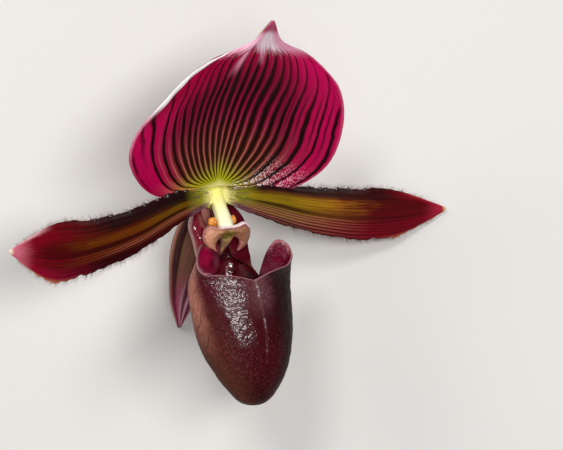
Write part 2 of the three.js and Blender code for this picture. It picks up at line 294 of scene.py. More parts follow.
RIGHT_PETAL = dict(
    middle=[[1.5, -0.9, -0.8], [14, -4, -0.3], [26, -7.5, -0.2], [38, -9.5, 0.4], [50, -10, 1.6],
            [62, -9.5, 3.2]],
    left=[[1.5, -2.6, -0.2], [13, -8, 0.2], [25.5, -12.5, 0], [38, -15.5, 0], [50, -15.5, 0.6],
          [62, -9.8, 3]],
    right=[[1.5, 0.4, -1.0], [15, -0.8, -0.8], [28, -3, -2.2], [40, -4.5, -2.4], [51, -5, -0.6],
           [62, -9.2, 3.2]])
LEFT_PETAL = dict(
    middle=[[-1.5, -0.9, -0.8], [-11.5, -3.5, 0], [-22.5, -7.5, 1.4], [-34, -9.5, 3.4], [-45.5, -9.8, 5.6],
            [-57.5, -7, 8.2]],
    left=[[-1.5, -2.6, -0.2], [-11.5, -7, 0.6], [-22, -12, 1.6], [-33.5, -15, 3], [-46, -16, 4.8],
          [-57.5, -7.3, 8]],
    right=[[-1.5, 0.4, -1.0], [-11, -0.2, -0.8], [-22, -3.5, -1.2], [-33.5, -4.5, 0.6], [-45.5, -3.5, 3.4],
           [-57.5, -6.7, 8.2]])

print("the upper sepal is drawn with", sum(map(len, UPPER_SEPAL.values())), "points")

# %% [markdown]
# A place on a blade is told by two shares: across, from -1 on the left margin to 1 on the right, and along,
# from 0 at the base to 1 at the tip. The cup between the middle and the margins is round. Columns stand
# closer together at the margins, where the tissue thins and turns over.

# %% Places on a blade
def on_blade(outline, across, along):
    """Points of a blade's middle sheet. across is -1 on the left margin and 1 on the right."""
    centre = through(outline["middle"], along)
    left, right = through(outline["left"], along), through(outline["right"], along)
    margin = np.where((across < 0)[..., None], left, right)
    reach = np.abs(across)[..., None]
    points = centre + (margin - centre) * reach
    points[..., 2] = centre[..., 2] + (margin[..., 2] - centre[..., 2]) * reach[..., 0] ** 2
    return points


def blade_grid(columns, rows, crowd=0.35):
    """Even rows from base to tip, and columns that crowd at the margins."""
    s = np.linspace(-1, 1, columns)
    across = s + crowd * (np.sin(np.pi * s / 2) - s)
    along = np.linspace(0, 1, rows)
    return np.meshgrid(across, along)


widest = on_blade(UPPER_SEPAL, np.array([-1.0, 1.0]), np.array([0.35, 0.35]))[:, 0]
print("the upper sepal is widest between x =", *np.round(widest, 1), "mm")

# %% [markdown]
# Thin tissue ends in a small round bead, so the half thickness falls to almost nothing in the last
# hundredth of the blade.

# %% The thickness of a blade
THIN = 0.04
BEAD_FROM, BEAD = 0.985, 0.015
BLADE_MIDDLE, BLADE_MARGIN = 0.95, 0.5


def round_end(x):
    """1 up to the bead, and from there down to 0 like a quarter of a circle."""
    return np.sqrt(np.clip(1 - ((x - BEAD_FROM) / BEAD).clip(0, 1) ** 2, 0, 1))


def blade_half(across, along, thick=BLADE_MIDDLE, thin=BLADE_MARGIN):
    """Half the thickness of a blade: full in the middle, thin towards the margins, round at the very edge."""
    body = thin + (thick - thin) * (1 - across ** 2)
    return np.maximum(0.5 * body * round_end(np.abs(across)) * round_end(along), THIN)


print("a blade is", 2 * blade_half(0.0, np.array(0.5)), "mm thick in its middle")

# %% [markdown]
# A wart is a low dome lifted from the sheet. The grooves of the veins come from lifting the whole sheet a
# little between the veins, its face and its back together, which is how a real sepal is pleated.

# %% A sepal or petal as a piece
WART_RISE = [0, 0.26, 0.30]


def raise_warts(sheet, across, along, warts):
    """Lifts low round domes from a sheet, and gives how high on its wart each point stands, from 0 to 1."""
    high = np.zeros(len(sheet))
    for i, (at, out) in enumerate(warts):
        centre = sheet[np.argmin(np.abs(along - at) * 60 + np.abs(across - out) * 5)]
        radius = 0.42 + 0.16 * math.sin(7 * i) ** 2
        reach = np.linalg.norm(sheet - centre, axis=1) / radius
        high = np.maximum(high, np.sqrt(np.clip(1 - reach ** 2, 0, 1)))
    return sheet + high[:, None] * WART_RISE, high


def make_blade(name, outline, columns, rows, veins, shape, depth, node, slot, warts=()):
    """A sepal or petal. veins counts the veins at a place, and shape bends the sheet."""
    across, along = blade_grid(columns, rows)
    sheet = shape(on_blade(outline, across, along), across, along).reshape(-1, 3)
    across, along = across.ravel(), along.ravel()
    faces = faces_between(numbered(rows, columns))
    faces = facing(faces, point_normals(sheet, faces)[:, 2].mean())
    sheet, wart = raise_warts(sheet, across, along, warts)
    count = veins(across, along)
    fade = ease(along, 0.0, 0.08) * ease(1 - along, 0.02, 0.2) * ease(1 - np.abs(across), 0.0, 0.06)
    relief = -depth * np.cos(2 * np.pi * count) * fade
    points, faces = skin(sheet, faces, blade_half(across, along), relief)
    piece = make_piece(name, on_table(points), faces, node, slot,
                       place=two_sided(np.column_stack([across, along])), veins=np.tile(count, 2),
                       wart=np.tile(wart, 2))
    print(name, "has", len(faces), "faces and about", int(count.max() - count.min()), "veins")
    return piece


print("a wart rises", WART_RISE[2], "mm out of the flower's face")

# %% [markdown]
# ## The upper sepal
# The upper sepal is the hood of the flower. Some twenty veins fan out from its base, run close together up
# its middle and far apart on its lobes, and meet again in a pale pointed tip. Its left margin rolls forwards,
# and a white painted highlight follows it. The veins are counted by a formula, so that the same count makes
# the pleats here and the dark lines in the finish.

# %% Build the upper sepal
VEIN_COUNT = [[0, 0, 0], [0.25, 3.7, 3.6], [0.5, 7.2, 6.8], [0.62, 8.6, 8.0], [0.75, 9.7, 8.9],
              [0.88, 10.6, 9.7], [1, 11.4, 10.4]]


def upper_sepal_veins(across, along):
    """Which vein a point is on. The veins drift towards the margins, more so near the tip."""
    drift = np.where(across < 0, 0.55 * ease(along, 0.28, 0.85), 0.50 * ease(along, 0.36, 0.90))
    counts = read(VEIN_COUNT, np.abs(across) * (1 - drift))
    count = np.where(across < 0, -counts[..., 0], counts[..., 1])
    sway = 0.22 * np.sin(5.0 * across + 4.0 * along) + 0.10 * np.sin(17.0 * across - 5.0 * along + 1.0)
    return count + sway * ease(np.abs(across), 0.0, 0.15)


def upper_sepal_shape(points, across, along):
    """Pulls the left margin inwards, rolls both forwards, ripples them and hollows the keel of the tip."""
    out, left = np.abs(across), across < 0
    points = points.copy()
    pull = ease(out, 0.5, 1.0) * ease(along, 0.28, 0.5) * ease(1 - along, 0.1, 0.3)
    points[..., 0] += pull * np.where(left, 0.9, -0.1)
    points[..., 1] -= pull * np.where(left, 0.7, 0.1)
    points[..., 2] += 0.6 * ease(out, 0.9, 1.0) * ease(along, 0.3, 0.5) * ease(1 - along, 0.12, 0.3)
    ripple = 0.25 * np.sin(along * 31 + across * 2)
    points[..., 2] += ripple * ease(out, 0.75, 1) * ease(1 - along, 0.15, 0.35)
    points[..., 2] -= 0.9 * (bell(across, -0.18, 0.16) * ease(along, 0.72, 0.86) * ease(1 - along, 0.0, 0.1))
    return points


upper_sepal = make_blade("upper_sepal", UPPER_SEPAL, 211, 130, upper_sepal_veins, upper_sepal_shape,
                         0.11, "dorsal_sepal", "upper_sepal")

# %% [markdown]
# ## The lower sepal
# Two sepals have grown together behind the pouch, and the flower leans on the tip of this one. It has fewer
# and wider veins, and its margins are drawn in round the pouch.

# %% Build the lower sepal
def lower_sepal_veins(across, along):
    """Broad veins with a slight sway."""
    return 4.2 * across + 0.12 * np.sin(6 * across + 5 * along)


def lower_sepal_shape(points, across, along):
    """Ripples the margins."""
    points = points.copy()
    ripple = 0.18 * np.sin(along * 17 + across * 3)
    points[..., 2] += ripple * ease(np.abs(across), 0.6, 1) * ease(1 - along, 0.1, 0.4)
    return points


lower_sepal = make_blade("lower_sepal", LOWER_SEPAL, 91, 90, lower_sepal_veins, lower_sepal_shape,
                         0.10, "synsepal", "lower_sepal")

# %% [markdown]
# ## The petals
# The two petals reach out sideways like arms. Their upper margins are rolled back, and carry small dark
# warts with tufts of hair. Each wart is a low dome in the sheet itself, because a separate ball would sit
# on the petal like a bead. The warts' places are listed once, so that the hair tufts can find them later.

# %% Build the petals
RIGHT_WARTS = [(0.16, 0.97), (0.205, 0.99), (0.25, 0.98), (0.285, 0.99), (0.37, 0.985), (0.425, 0.99),
               (0.45, 0.97), (0.50, 0.985), (0.56, 0.99), (0.64, 0.985)]
LEFT_WARTS = [(0.14, 0.98), (0.19, 0.99), (0.235, 0.975), (0.28, 0.985), (0.34, 0.99), (0.41, 0.98),
              (0.50, 0.985), (0.58, 0.99)]
PETAL_VEINS = 7.4


def petal_veins(across, along):
    """Fine veins along the petal, with a slight sway."""
    return PETAL_VEINS * across + 0.16 * np.sin(7 * across + 5 * along) + 0.05 * np.sin(23 * along)


def petal_shape(points, across, along):
    """Rolls the upper margin back, and ripples both margins."""
    points = points.copy()
    middle = ease(along, 0.02, 0.2) * ease(1 - along, 0.12, 0.35)
    turn = ease(across, 0.72, 1.0) * middle
    points[..., 1] += 0.9 * turn
    points[..., 2] -= 1.1 * turn
    ripple = np.sin(along * 37 + 1.0) + 0.6 * np.sin(along * 83 + 2.0) + 0.5 * np.sin(along * 151)
    points[..., 1] += 0.12 * ripple * ease(np.abs(across), 0.8, 1) * middle
    outer = ease(along, 0.5, 0.7) * ease(1 - along, 0.02, 0.1)
    points[..., 1] += 0.16 * ripple * ease(-across, 0.85, 1) * outer
    points[..., 2] += 0.14 * np.sin(along * 29) * ease(-across, 0.7, 1) * middle
    return points


petal_right = make_blade("right_petal", RIGHT_PETAL, 85, 250, petal_veins, petal_shape,
                         0.045, "petal_right", "petal", RIGHT_WARTS)
petal_left = make_blade("left_petal", LEFT_PETAL, 85, 250, petal_veins, petal_shape,
                        0.045, "petal_left", "petal", LEFT_WARTS)

# %% [markdown]
# ## The lip
# The lip is the pouch that traps insects: a closed cup at its toe, an open wall in front with a side lobe
# on each hand, and a channelled claw behind that joins it to the flower. The parts share the ring where the
# cup ends, so they are three grids with one common row of points, and the folded left lobe is a fourth.
# Sculpting it from a sphere would make the cup but not the free margins, where the wall turns into lobes.

# %% The lip's measures
POUCH = [[-48.2, 0, 17.5, 17.5], [-47.4, 2.8, 20.2, 15], [-45.2, 5.2, 21.9, 13.2], [-40.6, 8.5, 22.9, 9.8],
         [-33.7, 11.4, 21.8, 5.6], [-24.4, 12.4, 19.7, 2.7], [-17.9, 12.4, 18.2, 1.2], [-11, 12.6, 16.6, 0.2]]
TOE, RING, CLAW_TOP = -48.2, -22.0, -3.0
CLAW_BLEND = 7.0
FRONT_HALF = 135
RIM_RIGHT = [[0, -17.9, 1], [20, -16.7, 1], [40, -16.3, 1], [62, -16.3, 1.03], [75, -15.7, 1.1],
             [85, -14.6, 1.17], [93, -13.0, 1.17], [101, -12.0, 1.12], [110, -11.9, 1.05], [116, -13.1, 1],
             [123, -15.2, 0.965], [129, -17.8, 0.95], [135, -20.6, 0.945]]
RIM_LEFT = [[0, -17.9, 1], [20, -16.7, 1], [40, -16.3, 1], [60, -16.3, 1], [74, -14.6, 0.99],
            [85, -12.6, 0.98], [95, -11.4, 0.97], [104, -11.2, 0.96], [112, -11.3, 0.95], [120, -11.6, 0.945],
            [128, -12, 0.94], [135, -12.4, 0.94]]
LOBE_FROM, LOBE_TO = -58.5, -103.5
LOBE_WIDTH = [[0, 1.2], [0.15, 3.2], [0.35, 4.6], [0.6, 4.5], [0.8, 3.3], [0.93, 1.8], [1, 0.7]]
LOBE_ROWS, LOBE_HEIGHTS = 26, (5, 10)
CLAW = [[-22, 7.7, 2.2, 1.4, 7.7], [-18.5, 6.9, 0.8, 3, 4.6], [-15, 6.5, -0.8, 4.4, 1.6],
        [-11, 6.7, -2.6, 4.4, 1.6], [-8, 6.9, -3.9, 3.9, 3.4], [-4.8, 5, -4.7, 2.4, 3.6],
        [-3, 3.3, -4.9, 1.1, 2.9]]

print("the pouch is", np.round(2 * read(POUCH, -20)[0], 1), "mm wide under its rim")

# %% [markdown]
# A point of the lip is told by its degrees from the middle of the front, to the right, and by its height.
# The pouch is round, and the claw behind it is a channel whose section is drawn with five points on each
# side.

# %% The walls of the pouch and the claw
def pouch_wall(degrees, height, flare=1.0):
    """A point of the pouch's wall, at degrees from its front."""
    half, front, back = np.moveaxis(read(POUCH, height), -1, 0)
    angle = np.radians(degrees)
    return np.stack([flare * half * np.sin(angle), height + 0 * angle,
                     (front + back) / 2 + flare * (front - back) / 2 * np.cos(angle)], -1)


def claw_wall(degrees, height):
    """A point of the channelled claw, whose margins turn in."""
    half, back, fold, margin = np.moveaxis(read(CLAW, height), -1, 0)
    turn = np.clip((height - RING) / CLAW_BLEND, 0, 1)
    bend = half + (margin - half) * 0.25 * turn
    out = np.stack([0 * half, 0.62 * half, half, bend, margin], -1)
    deep = back[..., None] + np.array([0, 0.1, 0.45, 0.95, 0.95]) * fold[..., None]
    place = np.abs(degrees - 180) / (180 - FRONT_HALF) * 4
    i = np.minimum(place.astype(int), 3)

    def pick(rows):
        ends = np.concatenate([2 * rows[..., :1] - rows[..., 1:2], rows,
                               2 * rows[..., -1:] - rows[..., -2:-1]], -1)
        four = (np.take_along_axis(ends, (i + k)[..., None], -1)[..., 0] for k in range(4))
        return curve(*four, place - i)

    return np.stack([pick(out) * np.sign(180 - degrees), height, pick(deep)], -1)


print("the cup's front stands at", np.round(pouch_wall(0.0, RING), 1), "mm")

# %% [markdown]
# The left shoulder of the pouch leans in over the mouth, and a rounded lobe folds from its rim down into
# the mouth. The fold is easiest to tell as seen from above, so the directions of the table are turned back
# into the flower's own axes.

# %% The left shoulder and its lobe
def shoulder(points, degrees, height):
    """The pouch's left shoulder leans in over the mouth, and hugs the claw behind it."""
    lean = ease(-degrees, 60, 95) * ease(height, -21, -11.5)
    behind = ease(-degrees, 95, 135)
    points = points.copy()
    points[..., 0] += lean * (2.4 + 1.0 * ease(-degrees, 80, 100) + 1.2 * behind)
    points[..., 2] -= lean * 1.8 * behind
    return points


def back_to_flower(vector):
    """A direction on the table, told in the flower's own axes."""
    x, y, z = vector
    deep = z * math.cos(TIP) - y * math.sin(TIP)
    return np.array([x * math.cos(TURN) - deep * math.sin(TURN), y * math.cos(TIP) + z * math.sin(TIP),
                     deep * math.cos(TURN) + x * math.sin(TURN)])


def rows_up(count):
    """The shares at which the rows above the first one stand."""
    return np.linspace(0, 1, count + 1)[1:]


def side_lobe(fold_line):
    """Rows of points from the fold at the left rim, over the rounded side lobe and down into the mouth."""
    share = np.linspace(0, 1, len(fold_line))[::-1]
    width = read(LOBE_WIDTH, share)[:, 0]
    right, up, towards = (back_to_flower(v) for v in np.eye(3))
    rows = []
    for b in rows_up(LOBE_ROWS):
        turn = b * 1.9
        rows.append(fold_line + width[:, None] * (
            right * math.sin(min(turn, 1.57)) * (1 - 0.15 * max(0, turn - 1.57))
            - up * 0.5 * b * share[:, None] ** 2
            + towards * (0.14 * math.sin(math.pi * b) - 0.75 * (1 - math.cos(turn)))))
    return np.array(rows)


print("a direction towards the viewer is, for the flower,", np.round(back_to_flower((0, 0, 1)), 2))

# %% [markdown]
# The sheet is made once and thickened afterwards, as the petals are. Each grid grows from a row of points
# that is there already, so the parts hang together: the cup from the toe, the front and the claw from the
# cup's ring, and the lobe from the front's rim.

# %% The lip's sheet
STEP = 1.5
CUP_ROWS, FRONT_ROWS, CLAW_ROWS = 84, 36, 70
CUP_ROUND = 1.54
lip_grids = [pouch_wall(np.array([0.0]), np.array([TOE]))]
lip_mark_grids, lip_face_grids = [[[0.0, TOE]]], []


def add_rows(base, grid, degrees, height, corners=faces_between):
    """Adds a grid of points above a row of earlier ones, and gives the numbers of all its rows."""
    rows = np.vstack([base, sum(map(len, lip_grids)) + numbered(*grid.shape[:2])])
    lip_grids.append(grid.reshape(-1, 3))
    lip_mark_grids.append(np.stack([degrees, height], -1).reshape(-1, 2))
    lip_face_grids.append(corners(rows))
    return rows


def on_ring(degrees):
    """The numbers of the cup's last points, at these degrees."""
    return ring[((degrees + 180) / STEP).round().astype(int) % len(ring)]


print("a grid has a point every", STEP, "degrees round the lip")

# %% [markdown]
# The cup is a round shell that starts at one point, the toe. Its rows lie close together there, where the
# shell turns fast, and it ends in a ring that all the walls above it share.

# %% The cup, from the toe to its ring
rise = (1 - np.cos(rows_up(CUP_ROWS) * CUP_ROUND)) / (1 - np.cos(CUP_ROUND))
degrees, height = np.meshgrid(np.arange(-180, 180, STEP), TOE + (RING - TOE) * rise)
ring = add_rows(0 * degrees[:1].astype(int), pouch_wall(degrees, height), degrees, height, faces_around)[-1]
print("the cup ends in a ring of", len(ring), "points")

# %% [markdown]
# The front wall rises from the ring to the rim, which is higher at its shoulders and flares a little. A
# part of the left rim is a fold, from which the side lobe turns over and down.

# %% The front of the pouch and its folded lobe
front = np.arange(-FRONT_HALF, FRONT_HALF + STEP / 2, STEP)
v, degrees = np.meshgrid(rows_up(FRONT_ROWS), front, indexing="ij")
rim = np.where((degrees < 0)[..., None], read(RIM_LEFT, np.abs(degrees)), read(RIM_RIGHT, np.abs(degrees)))
height = RING + (rim[..., 0] - RING) * v
wall = shoulder(pouch_wall(degrees, height, 1 + (rim[..., 1] - 1) * v ** 1.2), degrees, height)
folded = (front <= LOBE_FROM) & (front >= LOBE_TO)
fold = add_rows(on_ring(front), wall, degrees, height)[-1, folded]

degrees, height = np.meshgrid(front[folded], np.linspace(*LOBE_HEIGHTS, LOBE_ROWS))
add_rows(fold, side_lobe(wall[-1, folded]), degrees, height)
print("the lobe folds over at", len(fold), "points of the rim")

# %% [markdown]
# Behind, the round wall turns into the channel of the claw within a few millimetres.

# %% The claw behind the pouch
behind = np.arange(FRONT_HALF, 360 - FRONT_HALF + STEP / 2, STEP)
v, degrees = np.meshgrid(rows_up(CLAW_ROWS), behind, indexing="ij")
height = RING + (CLAW_TOP - RING) * v
share = ease(height, RING, RING + CLAW_BLEND)[..., None]
claw = pouch_wall(degrees, height) * (1 - share) + claw_wall(degrees, height) * share
add_rows(on_ring(behind), claw, degrees - 360 * (degrees > 180), height)
lip_points, lip_faces, lip_marks = map(np.concatenate, (lip_grids, lip_face_grids, lip_mark_grids))
print("the lip's sheet has", len(lip_points), "points and", len(lip_faces), "faces")

# %% [markdown]
# The margins need care: a point's distance to the nearest free edge gives both the round bead of the rim
# and, in the finish, the rim's pale line. A k-d tree finds that distance quickly.

# %% How far each point is from a free edge
def distance_to(points, tips, farthest):
    """How far each point is from the nearest of the tips."""
    tree = kdtree.KDTree(len(tips))
    for i, tip in enumerate(tips):
        tree.insert(tip, i)
    tree.balance()
    return np.array([min(tree.find(p)[2], farthest) for p in points])


FAR_FROM_MARGIN = 4.0
lip_margin = distance_to(lip_points, lip_points[np.unique(open_edges(lip_faces))], FAR_FROM_MARGIN)
lip_rim = np.minimum(lip_margin, distance_to(lip_points, lip_points[fold], FAR_FROM_MARGIN))
print(int((lip_margin < 0.3).sum()), "of them are at its margins")

# %% [markdown]
# The skin of the pouch is netted with fine veins, like leather, and a crease runs down its front. Worley
# noise (distances to scattered points) gives such a net: where the nearest and the second nearest point are
# equally far, there is a line. It is cut into the outer face only, a few hundredths of a millimetre deep.

# %% The relief of the lip
CREASE = [[-42, 5], [-38, 6.5], [-34, 8], [-30, 8.5], [-26, 7], [-22, 4.5], [-19, 3], [-16, 3]]
NET_MESH = 1.25


def net(points, size):
    """0 in the middle of the net's meshes and 1 on its threads; size is a mesh in millimetres."""
    found = np.array([noise.voronoi(Vector(p / size))[0][:2] for p in points])
    return 1 - ease(found[:, 1] - found[:, 0], 0.0, 0.35)


def lip_relief(points, marks):
    """How far the whole wall is lifted: the crease, slow waves, and the claw's keel and welts."""
    degrees, height = marks[:, 0], marks[:, 1]
    crease = read(CREASE, height)[:, 0]
    beside = (degrees - crease) * np.pi / 180 * 9
    body = ease(height, -47, -42) * ease(-height, 15.5, 17)
    dent = (0.16 * bell(beside, 0.10, 0.20) - 0.22 * bell(beside, -0.50, 0.60)) * ease(height, -41, -34)
    wave = 0.05 * np.sin(np.radians(degrees) * 9 + height * 0.12) * ease(height, -36, -24)
    swell = bumps(points * 0.5) * 0.10
    lumps = 1 + 0.28 * np.sin(height * 3.1) + 0.15 * np.sin(height * 7.3 + 1)
    keel = (0.45 * lumps * bell(np.abs(degrees), 171, 3.4) * (degrees > 0)
            * ease(height, -25, -21) * ease(-height, 5, 9))
    welt = 0.35 * bell(np.abs(degrees), 148, 3.2) * ease(height, -19, -15) * ease(-height, 3, 6)
    return (dent + wave + swell) * body - keel + welt


threads = net(lip_points, NET_MESH)
print("the net covers", round(100 * float(threads.mean())), "percent of the lip")

# %% [markdown]
# The wall is thin at its free margins and thicker below. After it is thickened, the outer skin alone gets
# its net and a fine grain, each point moved along its own normal.

# %% Build the lip
CUP_AXIS = np.array([0, 0, 10])
RIM_HALF, WALL_GAIN, LIP_BEAD = 0.30, 0.15, 0.42
outward = ((lip_points - CUP_AXIS) * np.array([1, 0, 1]) * point_normals(lip_points, lip_faces)).sum(1)
bead = np.sqrt(np.clip(1 - (1 - lip_margin / LIP_BEAD).clip(0, 1) ** 2, 0, 1))
lip_half = np.maximum((RIM_HALF + WALL_GAIN * ease(lip_margin, 0.3, 2.5)) * bead, THIN)
lip_faces = facing(lip_faces, np.median(outward[:len(lip_grids[1]) // 2]))
points, faces = skin(lip_points, lip_faces, lip_half, lip_relief(lip_points, lip_marks))
outside = np.arange(len(points)) < len(lip_points)
texture = (0.035 * bumps(lip_points * 3.1) - 0.05 * threads) * ease(lip_margin, 0.1, 0.8)
points[outside] += point_normals(points, faces)[outside] * texture[:, None]
lip = make_piece("pouch", on_table(points), faces, "lip_pouch", "lip",
                 place=two_sided(lip_marks), margin=np.tile(lip_rim, 2), net=np.tile(threads, 2))
rim_thick = 2 * float(lip_half[lip_margin < 0.2].mean())
print("the lip has", len(faces), "faces; its rim is", round(rim_thick, 2), "mm thick")

# %% [markdown]
# ## Round stalks
# The column, the ovary and the stem are round bars that bend and swell. A Blender curve with a bevel would do
# for a plain rod, but it can't have ribs, so the rings are laid one by one along the same kind of smooth
# line. The ends are closed by rings that shrink to a point, slightly domed.

# %% A bar with ribs
CAP_RINGS = np.array([0.0, 0.35, 0.7, 0.92])


def bar(path, radii, sides, steps, ribs=0, depth=0.0, twist=0.0, dome=0.25, wobble=0.0):
    """Rings along a smooth line: the points, the faces, and each point's turn, place and reach."""
    along = np.linspace(0, 1, steps + 1)
    centre = through(path, along)
    forward = unit(np.gradient(centre, axis=0))
    side = unit(np.array([1.0, 0, 0]) - forward * forward[:, :1])
    other = np.cross(forward, side)
    radius = np.interp(along, np.linspace(0, 1, len(radii)), radii)
    turn = np.linspace(0, 2 * np.pi, sides, endpoint=False)
    rows = [(0, c, -dome * math.sqrt(1 - c * c)) for c in CAP_RINGS]
    rows += [(i, 1.0, 0.0) for i in range(steps + 1)]
    rows += [(steps, c, dome * math.sqrt(1 - c * c)) for c in CAP_RINGS[::-1]]
    points, marks = [], []
    for i, reach, lift in rows:
        shape = 1 + depth * np.cos(ribs * turn + twist * along[i]) + wobble * np.sin(3 * turn + 19 * along[i])
        r = (radius[i] * reach * shape)[:, None]
        ring = side[i] * np.cos(turn)[:, None] + other[i] * np.sin(turn)[:, None]
        points.append(centre[i] + forward[i] * lift + ring * r)
        marks.append(np.column_stack([turn / (2 * np.pi), np.full(sides, along[i]), np.full(sides, reach)]))
    used, faces = faces_closed(numbered(len(rows), sides))
    return np.concatenate(points)[used], faces, np.concatenate(marks)[used]


def volume(points, faces):
    """The space inside a closed skin; below zero if its faces look inwards."""
    a, b, c, d = (points[faces[:, k]] for k in range(4))
    return float((np.cross(a, b) * c + np.cross(a, c) * d).sum()) / 6


def make_bar(name, path, radii, node, slot, is_turned=False, **how):
    """A bar as a piece. Gives the piece, and its points and their marks for the hairs."""
    points, faces, marks = bar(path, radii, **how)
    faces = facing(faces, volume(points, faces))
    return make_piece(name, on_table(points, is_turned), faces, node, slot, place=marks), points, marks


test_points, test_faces, _ = bar([[0, 0, 0], [1, 0, 3], [0, 0, 6]], [1, 1], sides=24, steps=12)
held = abs(volume(test_points, test_faces))
print("a bar of 1 mm radius and about 6 mm length holds", round(held, 1), "mm3")

# %% [markdown]
# ## The column and the heart of the flower
# The column is the fused stamen and pistil, a pale yellow pillar that carries the shield. At its foot all
# the blades grow from one green receptacle. In the frame they are kept a hair apart, and here a small lobed
# cushion of tissue fills the place where they join.

# %% Build the column and the receptacle
COLUMN_PATH = [[0, -1.1, -2.4], [0.05, -2.9, -0.5], [0.2, -5.6, 1.5], [0.5, -9.0, 2.9]]
COLUMN_RADII = [2.5, 2.1, 1.8, 1.75, 1.85, 2.1, 2.0]
HEART_RADII, HEART_MIDDLE = (4.9, 3.5, 1.6), np.array([0.2, -0.9, -2.6])


def ball(radii, sides=56, rows=34, lump=0.0, furrow=0.0, seed=0.0):
    """A pebble with lumps, and with a furrow round its long way."""
    up, turn = np.meshgrid(np.linspace(0, np.pi, rows), np.linspace(0, 2 * np.pi, sides, endpoint=False),
                           indexing="ij")
    points = np.stack([np.sin(up) * np.cos(turn), np.sin(up) * np.sin(turn), np.cos(up)], -1).reshape(-1, 3)
    swell = lump * bumps(points * 2.6 + seed) - furrow * bell(points[:, 0], 0, 0.22)
    points = points * (1 + swell)[:, None] * np.array(radii)
    used, faces = faces_closed(numbered(rows, sides))
    return points[used], faces[:, [0, 3, 2, 1]]


column, _, _ = make_bar("pillar", COLUMN_PATH, COLUMN_RADII, "column", "column",
                        sides=48, steps=36, ribs=5, depth=0.035, wobble=0.012)
points, faces = ball(HEART_RADII, lump=0.25)
heart = make_piece("receptacle", on_table(points + HEART_MIDDLE), faces, None, "column",
                   place=points / 5)
print("the column has", len(column.data.polygons), "faces and the receptacle", len(faces))

# %% [markdown]
# ## The shield, the anthers and the stigma
# The shield (a changed stamen, the staminode) hides the stigma and carries three teeth below. A flat
# outline with thickness would look like card. So the outline is filled, given thickness and turned into an
# even mesh by a Remesh modifier, and then every point is moved: the middle swells, the rim stands up and
# the sides bend back.

# %% A plate with an even mesh
def remeshed(points, thickness, cell):
    """A solid plate from a flat outline, with an even mesh of small faces."""
    n = len(points)
    low = np.column_stack([points, np.zeros(n)])
    high = np.column_stack([points, np.full(n, thickness)])
    faces = [list(range(n))[::-1], list(range(n, 2 * n))]
    faces += [[i, (i + 1) % n, n + (i + 1) % n, n + i] for i in range(n)]
    mesh = bpy.data.meshes.new("plate")
    mesh.from_pydata(np.concatenate([low, high]).tolist(), [], faces)
    plate = add_object("plate", mesh)
    even = plate.modifiers.new("even mesh", "REMESH")
    even.mode = "VOXEL"
    even.voxel_size = cell
    plate.modifiers.new("soften", "SMOOTH").iterations = 4
    bpy.context.view_layer.update()
    done = bpy.data.meshes.new_from_object(plate.evaluated_get(bpy.context.evaluated_depsgraph_get()))
    at = np.zeros(len(done.vertices) * 3)
    done.vertices.foreach_get("co", at)
    corners = [list(f.vertices) for f in done.polygons]
    bpy.data.objects.remove(plate)
    bpy.data.meshes.remove(mesh)
    bpy.data.meshes.remove(done)
    return at.reshape(-1, 3), np.array([f + f[-1:] * (4 - len(f)) for f in corners])


print("a plate of 2 by 2 mm has", len(remeshed([[0, 0], [2, 0], [2, 2], [0, 2]], 0.9, 0.2)[1]), "faces")

# %% [markdown]
# The outline is half of the shield, mirrored to the other side. How far each point is from it tells the
# middle from the rim.

# %% Build the shield
SHIELD_HALF = [[0, -7.5], [2.6, -7.4], [4.6, -6.9], [6, -8.2], [6.2, -10.4], [5.2, -12.4], [3.9, -13.4],
               [2.6, -13.9], [3.2, -12.4], [3.0, -11.2], [1.9, -10.3], [1.3, -11.4], [0.75, -13.3],
               [0, -15.3]]
SHIELD_LEVEL, SHIELD_THICK, SHIELD_CELL = 5.2, 0.9, 0.13


def shape_shield(points, inside):
    """Swells and wrinkles the plate's top, raises its rim, and bends its sides and its middle tooth down."""
    down, out = -points[:, 1], np.abs(points[:, 0])
    rim = bell(inside, 0.35, 0.35) * ease(points[:, 1], -9.6, -7.6)
    pillow = 0.75 * ease(inside, 0.0, 1.9) - 0.55 * bell(points[:, 0], 0, 0.9) * bell(points[:, 1], -9.9, 1.6)
    wrinkle = bumps(points * [1.6, 1.6, 0]) * 0.10
    points[:, 2] += ease(points[:, 2], 0.3, 0.9) * (pillow + 0.2 * rim + wrinkle) - 0.35
    valley = 1.0 * bell(out, 0, 1.7) * ease(down, 8.0, 10.5)
    valley = valley + 2.6 * bell(out, 0, 1.5) * ease(down, 10.2, 14.0)
    points[:, 2] += SHIELD_LEVEL - SHIELD_THICK - 0.012 * out ** 2 - valley


outline = through([[x, y, 0] for x, y in SHIELD_HALF], np.linspace(0, 1, 61))
outline = np.concatenate([outline, (outline * [-1, 1, 1])[-2:0:-1]])
points, faces = remeshed(outline[:, :2], SHIELD_THICK, SHIELD_CELL)
inside = distance_to(points * [1, 1, 0], outline, math.inf)
shape_shield(points, inside)
faces = facing(faces, volume(points, faces))
shield = make_piece("shield", on_table(points), faces, "staminode", "shield",
                    place=np.column_stack([points[:, 0] / 7, (points[:, 1] + 11) / 4, inside]))
print("the shield has", len(faces), "faces")

# %% [markdown]
# The anthers are two sticky yellow-orange masses of pollen beside the column, each parted by a furrow. The
# stigma is a dark warty disc under the shield. Both start as a ball, but a ball with lumps, a furrow and
# the right three radii.

